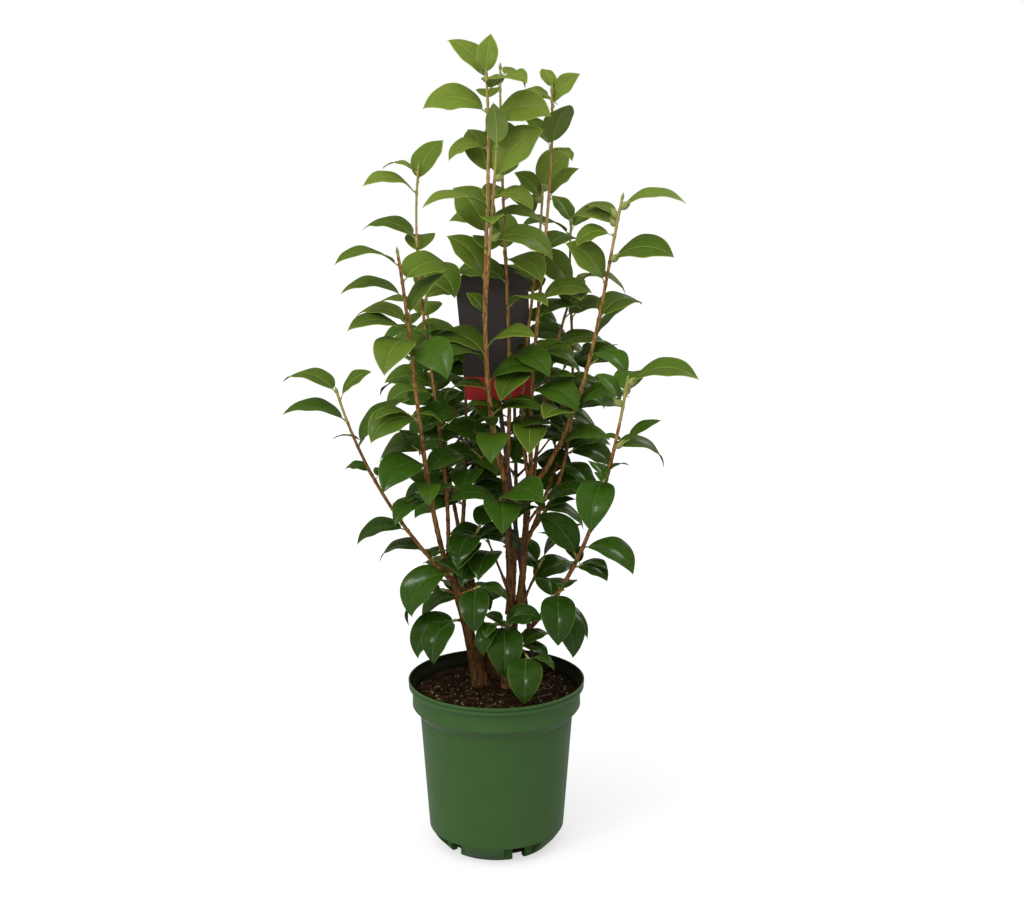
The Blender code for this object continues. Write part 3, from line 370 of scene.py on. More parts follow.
class MeshBag:
    """Points and faces gathered into one joined mesh."""

    def __init__(self) -> None:
        self.points: list[np.ndarray] = []
        self.corners: list[np.ndarray] = []
        self.sizes: list[np.ndarray] = []
        self.rows: list[np.ndarray] = []
        self.count = 0

    def add(self, points: np.ndarray, *patches: Faces) -> None:
        """Add points with the faces that join them.

        Args:
            points: One row of coordinates for each point.
            patches: Pairs of a face array, one row of point numbers for each face, and a material row.
        """
        for faces, row in patches:
            self.corners.append((faces + self.count).ravel())
            self.sizes.append(np.full(len(faces), faces.shape[1], dtype=np.int32))
            self.rows.append(np.full(len(faces), row, dtype=np.int32))
        self.points.append(points)
        self.count += len(points)

    def build(self, name: str, finishes: list[Material], sharp: float = 40.0) -> Piece:
        """Make the joined mesh and link it into the scene.

        Args:
            name: The piece's name.
            finishes: The materials, in the order of the rows.
            sharp: Edges that turn by more than this many degrees stay sharp.

        Returns:
            The new object.
        """
        points = np.concatenate(self.points).astype(np.float32)
        corners = np.concatenate(self.corners).astype(np.int32)
        sizes = np.concatenate(self.sizes)
        mesh = bpy.data.meshes.new(name)
        mesh.vertices.add(len(points))
        mesh.vertices.foreach_set("co", points.ravel())
        mesh.loops.add(len(corners))
        mesh.loops.foreach_set("vertex_index", corners)
        mesh.polygons.add(len(sizes))
        mesh.polygons.foreach_set("loop_start", np.concatenate(([0], np.cumsum(sizes)[:-1])).astype(np.int32))
        mesh.polygons.foreach_set("material_index", np.concatenate(self.rows))
        mesh.update(calc_edges=True)
        for finish in finishes:
            mesh.materials.append(finish)
        mesh.shade_smooth()
        mesh.set_sharp_from_angle(angle=math.radians(sharp))
        obj = bpy.data.objects.new(name, mesh)
        bpy.context.scene.collection.objects.link(obj)
        return obj


def grid_faces(rows: int, columns: int, closed: bool = False) -> np.ndarray:
    """Quads over a grid of points that is stored row by row.

    Args:
        rows: How many rows of points.
        columns: How many points in a row.
        closed: Whether each row is a closed ring.

    Returns:
        The face array.
    """
    across = columns if closed else columns - 1
    row, column = np.meshgrid(np.arange(rows - 1), np.arange(across), indexing="ij")
    beside = (column + 1) % columns
    quads = np.stack((row * columns + column, row * columns + beside,
                      (row + 1) * columns + beside, (row + 1) * columns + column), axis=-1)
    return quads.reshape(-1, 4)


def fan_faces(centre: int, ring: np.ndarray, turned: bool = False) -> np.ndarray:
    """Triangles from a centre point to a closed ring of points."""
    after = np.roll(ring, -1)
    pair = (after, ring) if turned else (ring, after)
    return np.stack((np.full(len(ring), centre), *pair), axis=-1)


def turned_skin(rings: int, sides: int, row: int = 0, flipped: bool = False) -> list[Faces]:
    """The faces of a closed skin of rings, whose last two points are the middles of its ends.

    Args:
        rings: How many rings.
        sides: How many points in a ring.
        row: The material row.
        flipped: Whether the rings run the other way.

    Returns:
        Pairs of a face array and the row.
    """
    ring = np.arange(sides)
    total = rings * sides
    faces = grid_faces(rings, sides, closed=True)
    return [(faces[:, ::-1] if flipped else faces, row), (fan_faces(total, ring, turned=not flipped), row),
            (fan_faces(total + 1, ring + total - sides, turned=flipped), row)]


def capped_tube(rings: int, sides: int, row: int, flipped: bool = False) -> list[Faces]:
    """The faces of a tube of rings with a flat end on each side, as turned_skin gives them."""
    ring = np.arange(sides)
    faces = grid_faces(rings, sides, closed=True)
    ends = np.stack((ring[::-1], (rings - 1) * sides + ring))
    return [(faces[:, ::-1], row), (ends[:, ::-1], row)] if flipped else [(faces, row), (ends, row)]


def circle(sides: int) -> np.ndarray:
    """Evenly spaced angles round a full turn, in radians."""
    return np.arange(sides) * FULL_TURN / sides


def spread_out(middle: np.ndarray, side: np.ndarray, rise: np.ndarray, wide: np.ndarray,
               high: np.ndarray) -> np.ndarray:
    """Rows of points round a line.

    Args:
        middle: The line's points.
        side: The direction to the side at each of them.
        rise: The direction upwards.
        wide: How far each point of a row lies to the side.
        high: How far it lies upwards.

    Returns:
        The points, one row of them for each point of the line.
    """
    return middle[:, None] + side[:, None] * wide[..., None] + rise[:, None] * high[..., None]


def place(obj: Piece, slot: Slot, *replaced: str) -> Piece:
    """Let a piece ride on the plant's body, and hide the solids that it stands for.

    Args:
        obj: The finished piece.
        slot: The record's slot that it takes its finish from; not used.
        replaced: Names of the solids.

    Returns:
        The piece.
    """
    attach(obj, BODY)
    if replaced:
        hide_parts(*replaced)
    LOG.info("%s: %d faces, for %s", obj.name, len(obj.data.polygons), ", ".join(replaced) or "no solid")
    return obj


class Nodes:
    """Adds and links nodes in one tree."""

    def __init__(self, tree: Tree) -> None:
        self.tree = tree

    def add(self, kind: str, **values: object) -> bpy.types.Node:
        """Add a node.

        Args:
            kind: The node's type, without the leading ShaderNode.
            values: Node properties by name.

        Returns:
            The node.
        """
        node = self.tree.nodes.new("ShaderNode" + kind if not kind.startswith("Node") else kind)
        for name, value in values.items():
            setattr(node, name, value)
        return node

    def link(self, source: Socket, target: Socket) -> None:
        """Link one socket to another."""
        self.tree.links.new(source, target)

    def noise(self, vector: Socket, scale: float, detail: float = 3.0,
              rough: float = 0.55) -> Socket:
        """A noise value over a vector.

        Args:
            vector: The coordinates.
            scale: Features for each unit.
            detail: Octaves.
            rough: The share of each finer octave.

        Returns:
            The value's socket.
        """
        node = self.add("TexNoise")
        node.inputs["Scale"].default_value = scale
        node.inputs["Detail"].default_value = detail
        node.inputs["Roughness"].default_value = rough
        self.link(vector, node.inputs["Vector"])
        return node.outputs["Fac"]

    def spread(self, value: Socket, low: float, high: float, to_low: float = 0.0,
               to_high: float = 1.0) -> Socket:
        """A value moved from one range to another, and held inside it.

        Args:
            value: The value's socket.
            low: What becomes to_low.
            high: What becomes to_high.
            to_low: The new low end.
            to_high: The new high end.

        Returns:
            The new value's socket.
        """
        node = self.add("MapRange")
        for name, number in (("From Min", low), ("From Max", high), ("To Min", to_low), ("To Max", to_high)):
            node.inputs[name].default_value = number
        self.link(value, node.inputs["Value"])
        return node.outputs["Result"]

    def mix(self, mask: Socket, first: object, second: object) -> Socket:
        """A colour between two, by a mask.

        Args:
            mask: 0 gives the first colour, 1 the second.
            first: A colour, or the socket of one.
            second: A colour, or the socket of one.

        Returns:
            The mixed colour's socket.
        """
        node = self.add("Mix", data_type="RGBA")
        self.link(mask, node.inputs["Factor"])
        for name, colour in (("A", first), ("B", second)):
            socket = next(item for item in node.inputs if item.name == name and item.type == "RGBA")
            if isinstance(colour, tuple):
                socket.default_value = (*colour, 1.0)
            else:
                self.link(colour, socket)
        return next(item for item in node.outputs if item.type == "RGBA")

    def maths(self, operation: str, first: object, second: object) -> Socket:
        """The result of a sum on two values, each a number or a socket."""
        node = self.add("Math", operation=operation)
        for socket, value in zip(node.inputs, (first, second)):
            if isinstance(value, float):
                socket.default_value = value
            else:
                self.link(value, socket)
        return node.outputs["Value"]


class Effect(Enum):
    """The shader groups that several finishes share."""

    MOTTLE = "fine_mottle"
    GRAIN = "bark_grain"
    MOULDING = "moulded_plastic"


class Effects:
    """Builds each shared group once. Each takes a vector, a scale and a contrast."""

    def __init__(self) -> None:
        self.groups: dict[Effect, Tree] = {}
        self.make_mottle()
        self.make_grain()
        self.make_moulding()

    def start(self, effect: Effect, *outputs: str) -> tuple[Nodes, Socket, Socket, dict]:
        """Begin a group.

        Args:
            effect: Which one.
            outputs: Names of its value outputs.

        Returns:
            Its nodes, the scaled vector, the contrast, and the ends of its outputs by name.
        """
        group = bpy.data.node_groups.new(effect.value, "ShaderNodeTree")
        for name, kind in (("Vector", "Vector"), ("Scale", "Float"), ("Contrast", "Float")):
            group.interface.new_socket(name=name, in_out="INPUT", socket_type="NodeSocket" + kind)
        for name in outputs:
            group.interface.new_socket(name=name, in_out="OUTPUT", socket_type="NodeSocketFloat")
        self.groups[effect] = group
        nodes = Nodes(group)
        start = nodes.add("NodeGroupInput")
        end = nodes.add("NodeGroupOutput")
        scaled = nodes.add("VectorMath", operation="SCALE")
        nodes.link(start.outputs["Vector"], scaled.inputs[0])
        nodes.link(start.outputs["Scale"], scaled.inputs["Scale"])
        ends = {name: end.inputs[name] for name in outputs}
        return nodes, scaled.outputs["Vector"], start.outputs["Contrast"], ends

    @staticmethod
    def stretched(nodes: Nodes, vector: Socket, scale: Triple) -> Socket:
        """A vector drawn out by a scale along each axis."""
        drawn = nodes.add("Mapping")
        drawn.inputs["Scale"].default_value = scale
        nodes.link(vector, drawn.inputs["Vector"])
        return drawn.outputs["Vector"]

    @staticmethod
    def contrasted(nodes: Nodes, mask: Socket, contrast: Socket) -> Socket:
        """A mask pushed apart from its middle value by the contrast."""
        middle = nodes.maths("SUBTRACT", mask, 0.5)
        return nodes.maths("ADD", nodes.maths("MULTIPLY", middle, contrast), 0.5)

    def make_mottle(self) -> None:
        """Cloudy mottling: a mask, and a fine height."""
        nodes, vector, contrast, ends = self.start(Effect.MOTTLE, "Mask", "Height")
        cloud = nodes.spread(nodes.noise(vector, 1.0, 4.0, 0.6), 0.32, 0.68)
        nodes.link(self.contrasted(nodes, cloud, contrast), ends["Mask"])
        nodes.link(nodes.noise(vector, 9.0, 2.0), ends["Height"])

    def make_grain(self) -> None:
        """Bark: long streaks, small flecks, and the height of both."""
        nodes, vector, contrast, ends = self.start(Effect.GRAIN, "Streaks", "Flecks", "Height")
        long = nodes.noise(self.stretched(nodes, vector, (1.0, 1.0, 0.14)), 1.0, 5.0, 0.62)
        nodes.link(self.contrasted(nodes, nodes.spread(long, 0.36, 0.64), contrast), ends["Streaks"])
        flecks = nodes.noise(vector, 2.3, 3.0, 0.7)
        nodes.link(nodes.spread(flecks, 0.56, 0.66), ends["Flecks"])
        nodes.link(nodes.maths("ADD", long, nodes.maths("MULTIPLY", flecks, 0.5)), ends["Height"])

    def make_moulding(self) -> None:
        """Moulded plastic: faint scuffs, a dusty haze, and the fine height of its skin."""
        nodes, vector, contrast, ends = self.start(Effect.MOULDING, "Scuff", "Haze", "Height")
        streaks = nodes.noise(self.stretched(nodes, vector, (0.25, 0.25, 3.0)), 2.0, 5.0, 0.7)
        nodes.link(nodes.maths("MULTIPLY", nodes.spread(streaks, 0.58, 0.72), contrast), ends["Scuff"])
        haze = nodes.spread(nodes.noise(vector, 0.25, 4.0, 0.6), 0.38, 0.66)
        nodes.link(nodes.maths("MULTIPLY", haze, contrast), ends["Haze"])
        nodes.link(nodes.noise(vector, 24.0, 2.0, 0.6), ends["Height"])


@dataclass(frozen=True)
class Finish:
    """A ground colour, one or two more under the masks of a shared effect, and a fine relief.

    The scale is the effect's features for each metre, and the relief is in metres. The first mask
    also moves the roughness between two values.
    """

    name: str
    ground: Triple
    second: Triple
    third: Triple = (0.0, 0.0, 0.0)
    rough: Pair = (0.5, 0.6)
    specular: float = 0.2
    scale: float = 100.0
    contrast: float = 1.0
    bump: float = 0.5
    relief: float = 0.0001

    effect = Effect.MOTTLE
    masks = ("Mask",)

    def shine(self) -> dict[str, float]:
        """The shader's plain values, by the names of its sockets."""
        return {"Specular IOR Level": self.specular}

    def build(self, effects: Effects) -> Material:
        """Make the material."""
        material = bpy.data.materials.new(self.name)
        material.use_nodes = True
        nodes = Nodes(material.node_tree)
        shader = material.node_tree.nodes["Principled BSDF"]
        group = nodes.add("Group", node_tree=effects.groups[self.effect])
        group.inputs["Scale"].default_value = self.scale
        group.inputs["Contrast"].default_value = self.contrast
        nodes.link(nodes.add("TexCoord").outputs["Object"], group.inputs["Vector"])
        colour = self.ground
        for mask, tint in zip(self.masks, (self.second, self.third)):
            colour = nodes.mix(group.outputs[mask], colour, tint)
        nodes.link(colour, shader.inputs["Base Color"])
        roughness = nodes.spread(group.outputs[self.masks[0]], 0.0, 1.0, *self.rough)
        nodes.link(roughness, shader.inputs["Roughness"])
        bump = nodes.add("Bump")
        bump.inputs["Strength"].default_value = self.bump
        bump.inputs["Distance"].default_value = self.relief
        nodes.link(group.outputs["Height"], bump.inputs["Height"])
        nodes.link(bump.outputs["Normal"], shader.inputs["Normal"])
        for name, value in self.shine().items():
            shader.inputs[name].default_value = value
        return material


@dataclass(frozen=True)
class LeafFinish(Finish):
    """The waxy skin of a leaf, in two close greens."""

    rough: Pair = (0.36, 0.48)
    specular: float = 0.18
    scale: float = 130.0
    contrast: float = 0.9
    bump: float = 0.12
    relief: float = 0.00006
    coat: float = 0.06
    coat_rough: float = 0.1

    def shine(self) -> dict[str, float]:
        """The shader's plain values, with the wax as a coat."""
        return super().shine() | {"Coat Weight": self.coat, "Coat Roughness": self.coat_rough}


@dataclass(frozen=True)
class BarkFinish(Finish):
    """Bark with long streaks and small pale flecks."""

    rough: Pair = (0.58, 0.82)
    specular: float = 0.18
    scale: float = 420.0
    contrast: float = 1.7
    bump: float = 0.7
    relief: float = 0.0005

    effect = Effect.GRAIN
    masks = ("Streaks", "Flecks")


@dataclass(frozen=True)
class PlasticFinish(Finish):
    """Matte moulded plastic with a dusty haze and faint scuffs."""

    rough: Pair = (0.44, 0.6)
    specular: float = 0.26
    scale: float = 90.0
    contrast: float = 0.6
    bump: float = 0.35
    relief: float = 0.00015
    sheen: float = 0.0
    sheen_rough: float = 0.4

    effect = Effect.MOULDING
    masks = ("Haze", "Scuff")

    def shine(self) -> dict[str, float]:
        """The shader's plain values, with the soft sheen of a dusty pot."""
        return super().shine() | {"Sheen Weight": self.sheen, "Sheen Roughness": self.sheen_rough}


@dataclass(frozen=True)
class CrumbFinish(Finish):
    """Loose matter: peat, bark chips, grit or roots."""

    rough: Pair = (0.85, 1.0)
    specular: float = 0.06
    scale: float = 500.0
    contrast: float = 1.5
    bump: float = 0.8
    relief: float = 0.0012


# The blades in the order of the shades, then the undersides and the veins, dark before light.
# The blade greens are partly real tones, partly painted shade and painted light; the dark and light
# undersides and veins are painted shade and painted light.
LEAF_FINISHES = (
    LeafFinish("leaf_deep", (0.0145, 0.042, 0.0026), (0.0215, 0.057, 0.0036), rough=(0.22, 0.32),
               specular=0.34, coat=0.16),
    LeafFinish("leaf_dark", (0.0245, 0.069, 0.0036), (0.034, 0.088, 0.005), rough=(0.25, 0.35),
               specular=0.34, coat=0.14),
    LeafFinish("leaf_leafy", (0.042, 0.096, 0.0054), (0.055, 0.116, 0.0074), rough=(0.3, 0.4),
               specular=0.3, coat=0.1),
    LeafFinish("leaf_middle", (0.062, 0.113, 0.0082), (0.078, 0.134, 0.0112), rough=(0.36, 0.46),
               specular=0.25, coat=0.05),
    LeafFinish("leaf_light", (0.09, 0.145, 0.012), (0.11, 0.168, 0.016), rough=(0.4, 0.5),
               specular=0.22, coat=0.03),
    LeafFinish("leaf_pale", (0.125, 0.185, 0.018), (0.152, 0.215, 0.024), rough=(0.44, 0.54),
               specular=0.2, coat=0.02),
    LeafFinish("leaf_underside_dark", (0.04, 0.08, 0.011), (0.052, 0.098, 0.015), rough=(0.48, 0.62),
               specular=0.12, coat=0.0),
    LeafFinish("leaf_underside_light", (0.12, 0.175, 0.034), (0.145, 0.2, 0.044), rough=(0.48, 0.62),
               specular=0.12, coat=0.0),
    # The vein finishes also cover the margins and rims of the blades, where their pale green is partly a
    # painted highlight.
    LeafFinish("leaf_vein_dark", (0.06, 0.12, 0.011), (0.085, 0.155, 0.017), coat=0.1),
    LeafFinish("leaf_vein_light", (0.215, 0.29, 0.04), (0.275, 0.345, 0.056), coat=0.1),
)
BUD_FINISHES = (
    LeafFinish("bud_green", (0.18, 0.29, 0.05), (0.25, 0.36, 0.085), coat=0.15, scale=420.0),
    LeafFinish("bud_scale", (0.23, 0.32, 0.08), (0.29, 0.27, 0.09), coat=0.05, rough=(0.45, 0.6),
               scale=420.0),
)
# Young bark from the foot of a shoot to its green tip.
YOUNG_BARKS = (
    BarkFinish("bark_brown", (0.06, 0.023, 0.006), (0.3, 0.132, 0.036), (0.47, 0.255, 0.09), scale=480.0),
    BarkFinish("bark_russet", (0.105, 0.045, 0.011), (0.41, 0.205, 0.058), (0.6, 0.38, 0.16),
               scale=500.0, relief=0.0004),
    BarkFinish("bark_tan", (0.275, 0.145, 0.048), (0.53, 0.335, 0.14), (0.64, 0.48, 0.26),
               scale=520.0, rough=(0.5, 0.7), relief=0.0003),
    BarkFinish("bark_green", (0.29, 0.28, 0.062), (0.42, 0.33, 0.115), (0.5, 0.43, 0.175),
               scale=520.0, rough=(0.45, 0.6), relief=0.0002),
)
OLD_BARKS = (
    BarkFinish("bark_old", (0.024, 0.011, 0.003), (0.125, 0.054, 0.015), (0.29, 0.15, 0.052), scale=330.0),
)
POT_FINISHES = (
    PlasticFinish("pot_green", (0.0365, 0.099, 0.019), (0.044, 0.109, 0.024), (0.06, 0.128, 0.037),
                  specular=0.36, sheen=0.13),
    PlasticFinish("pot_inside", (0.0095, 0.0125, 0.0032), (0.014, 0.0165, 0.005),
                  (0.026, 0.03, 0.011), rough=(0.7, 0.85), specular=0.1),
)
TAG_FINISHES = (
    PlasticFinish("tag_charcoal", (0.06, 0.047, 0.044), (0.073, 0.059, 0.055), (0.092, 0.077, 0.07),
                  rough=(0.32, 0.46)),
    PlasticFinish("tag_red", (0.56, 0.022, 0.022), (0.6, 0.034, 0.03), (0.64, 0.06, 0.05),
                  rough=(0.32, 0.46)),
)
PEAT = CrumbFinish("soil_peat", (0.0105, 0.0058, 0.0021), (0.033, 0.0185, 0.0075))
CHIP = CrumbFinish("soil_bark", (0.03, 0.014, 0.006), (0.095, 0.046, 0.019))
PALE_CHIP = CrumbFinish("soil_pale_bark", (0.12, 0.066, 0.028), (0.23, 0.14, 0.066))
GRIT = CrumbFinish("soil_perlite", (0.52, 0.5, 0.45), (0.78, 0.77, 0.73))
ROOT = CrumbFinish("soil_root", (0.16, 0.1, 0.055), (0.24, 0.16, 0.09))


class Wardrobe:
    """Every material of the plant, each made once, when a piece first asks for it."""

    def __init__(self) -> None:
        self.effects = Effects()
        self.made: dict[str, Material] = {}

    def rows(self, *finishes: Finish) -> list[Material]:
        """The materials of a piece, in the order of its rows."""
        for finish in finishes:
            if finish.name not in self.made:
                self.made[finish.name] = finish.build(self.effects)
        return [self.made[finish.name] for finish in finishes]


def leaf_rows(shade: Shade) -> tuple[int, int, int]:
    """The rows of a leaf's blade, underside and veins: from the middle green on the light underside and
    veins, as painted light, and below it the dark ones, as painted shade.
    """
    light = int(shade.value >= Shade.MIDDLE.value)
    return shade.value, len(Shade) + light, len(Shade) + 2 + light


class Space:
    """The room that is already taken, so that no new leaf touches anything."""

    def __init__(self) -> None:
        self.taken: list[tuple[str, tuple[list[float], list[float]], BVHTree]] = []

    @staticmethod
    def box(points: list[Triple]) -> tuple[list[float], list[float]]:
        """The lowest and highest corner of some points."""
        low = [min(point[axis] for point in points) for axis in range(3)]
        high = [max(point[axis] for point in points) for axis in range(3)]
        return low, high

    def add(self, owner: str, points: list[Triple], faces: list[tuple[int, ...]]) -> None:
        """Take the room of a solid, which belongs to owner."""
        self.taken.append((owner, self.box(points), BVHTree.FromPolygons(points, faces)))

    def add_node(self, name: str) -> None:
        """Take the room of one of the frame's solids."""
        mesh = frame["nodes"][name].data
        points = [tuple(vert.co) for vert in mesh.vertices]
        self.add(name, points, [tuple(face.vertices) for face in mesh.polygons])

    def is_free(self, owner: str, points: list[Triple], faces: list[tuple[int, ...]]) -> bool:
        """Whether a solid clears everything but its owner's own stem."""
        low, high = self.box(points)
        tree = None
        for name, (other_low, other_high), other in self.taken:
            if name == owner:
                continue
            if any(low[axis] > other_high[axis] or high[axis] < other_low[axis] for axis in range(3)):
                continue
            if tree is None:
                tree = BVHTree.FromPolygons(points, faces)
            if tree.overlap(other):
                return False
        return True


def blade_share(part: float) -> float:
    """A solid leaf's half width, as a share of its greatest, at a share of the blade's length."""
    rounded = math.sin(math.pi * min(1.0, part ** BLADE_SHIFT))
    return max(0.0, rounded) ** BLADE_FULLNESS * (1.0 - BLADE_TAPER * part)


def level_out(bearing: float) -> Vector:
    """The level unit vector at a bearing in degrees."""
    return Vector((math.cos(math.radians(bearing)), math.sin(math.radians(bearing)), 0.0))


@dataclass(frozen=True)
class Leaf:
    """Where one leaf grows, how long it is and how it bends."""

    root: Vector
    bearing: float
    length: float
    width: float
    lift: float
    droop: float
    roll: float
    petiole: float = PETIOLE

    def rings(self) -> list[tuple[Vector, Vector, Vector, Vector, float]]:
        """The centre line as (point, way, side, up, share) at equal steps from root to tip."""
        whole = self.petiole + self.length
        out = level_out(self.bearing)
        across = Vector((-out.y, out.x, 0.0))
        point = self.root.copy()
        rings = []
        for index in range(LEAF_STEPS + 1):
            share = max(0.0, (whole * index / LEAF_STEPS - self.petiole) / self.length)
            angle = math.radians(self.lift - self.droop * share)
            way = out * math.cos(angle) + Vector((0.0, 0.0, math.sin(angle)))
            up = way.cross(-across)
            tilt = math.radians(self.roll) * min(1.0, ROLL_AT_STALK + share)
            side = across * math.cos(tilt) + up * math.sin(tilt)
            rings.append((point.copy(), way, side, side.cross(way) * -1.0, share))
            point += way * (whole / LEAF_STEPS)
        return rings

    def solid(self, clearance: float = 0.0) -> Solid:
        """The plain closed leaf that the solids use, here only to find room.

        Args:
            clearance: How much fatter the solid is on every side, in metres.

        Returns:
            Its points and faces.
        """
        rings = self.rings()
        whole = self.petiole + self.length
        stations = [(self.petiole / whole, PETIOLE_WIDTH / 2.0, PETIOLE_THICKNESS / 2.0, 0.0)]
        for share in LEAF_STATIONS:
            spot = (self.petiole + self.length * share) / whole
            half = self.width / 2.0 * blade_share(share)
            stations.append((spot, half, LEAF_THICKNESS / 2.0, LEAF_FOLD))
        points = [rings[0][0]]
        for spot, half, thick, fold in stations:
            exact = spot * LEAF_STEPS
            index = min(LEAF_STEPS - 1, int(exact))
            part = exact - index
            point = rings[index][0].lerp(rings[index + 1][0], part)
            side = rings[index][2].lerp(rings[index + 1][2], part).normalized()
            up = rings[index][3].lerp(rings[index + 1][3], part).normalized()
            half += clearance
            rise = up * (half * fold)
            above = up * (thick + clearance)
            points += [point + side * half + rise, point + above, point - side * half + rise, point - above]
        points.append(rings[-1][0] + rings[-1][1] * clearance)
        faces: list[tuple[int, ...]] = [(0, 1 + index, 1 + (index + 1) % 4) for index in range(4)]
        for ring in range(len(stations) - 1):
            base = 1 + 4 * ring
            for index in range(4):
                after = (index + 1) % 4
                faces.append((base + index, base + 4 + index, base + 4 + after, base + after))
        base = 1 + 4 * (len(stations) - 1)
        for index in range(4):
            faces.append((base + index, len(points) - 1, base + (index + 1) % 4))
        return [tuple(point) for point in points], faces


@dataclass(frozen=True)
class GrownLeaf:
    """A leaf that found room, with what the dressing needs to know of it."""

    leaf: Leaf
    share: float
    shade: Shade
    flower_bud: bool
    fine: bool


@dataclass(frozen=True)
class Spur:
    """A finer twig in the axil of a leaf, with its own small leaves."""

    root: Vector
    way: Vector
    length: float


@dataclass
class GrownShoot:
    """One shoot with every leaf and spur that it grew."""

    shoot: Shoot
    leaves: list[GrownLeaf] = field(default_factory=list)
    spurs: list[Spur] = field(default_factory=list)


def stem_solid(limb: Limb, first: float) -> Solid:
    """The plain four-sided stem that the solids use, here only to find room."""
    length = limb.length()
    count = max(2, math.ceil((1.0 - first) * length / TWIG_STEP))
    points = []
    side = Vector((1.0, 0.0, 0.0))
    for ring in range(count + 1):
        share = first + (1.0 - first) * ring / count
        centre = limb.along(share)
        way = limb.direction(share)
        side = (side - way * side.dot(way)).normalized()
        other = way.cross(side)
        radius = limb.radius(share, length)
        for index in range(TWIG_SIDES):
            angle = FULL_TURN * index / TWIG_SIDES
            spot = centre + side * (radius * math.cos(angle))
            points.append(tuple(spot + other * (radius * math.sin(angle))))
    faces: list[tuple[int, ...]] = [tuple(range(TWIG_SIDES))]
    for ring in range(count):
        for index in range(TWIG_SIDES):
            here = ring * TWIG_SIDES + index
            beside = ring * TWIG_SIDES + (index + 1) % TWIG_SIDES
            faces.append((here, beside, beside + TWIG_SIDES, here + TWIG_SIDES))
    faces.append(tuple(count * TWIG_SIDES + index for index in range(TWIG_SIDES)))
    return points, faces


def bud_solid(root: Vector, way: Vector, length: float, radius: float) -> Solid:
    """The plain eight-pointed bud that the solids use, here only to find room."""
    side = way.orthogonal().normalized()
    other = way.cross(side)
    points = [root]
    for share, wide in ((0.35, 0.9), (0.6, 1.0)):
        for turn in range(4):
            angle = math.pi * turn / 2.0
            reach = side * math.cos(angle) + other * math.sin(angle)
            points.append(root + way * (length * share) + reach * (radius * wide))
    points.append(root + way * length)
    faces = []
    for index in range(4):
        after = (index + 1) % 4
        faces += [(0, 1 + index, 1 + after), (1 + index, 5 + index, 5 + after, 1 + after),
                  (5 + index, 9, 5 + after)]
    return [tuple(point) for point in points], faces


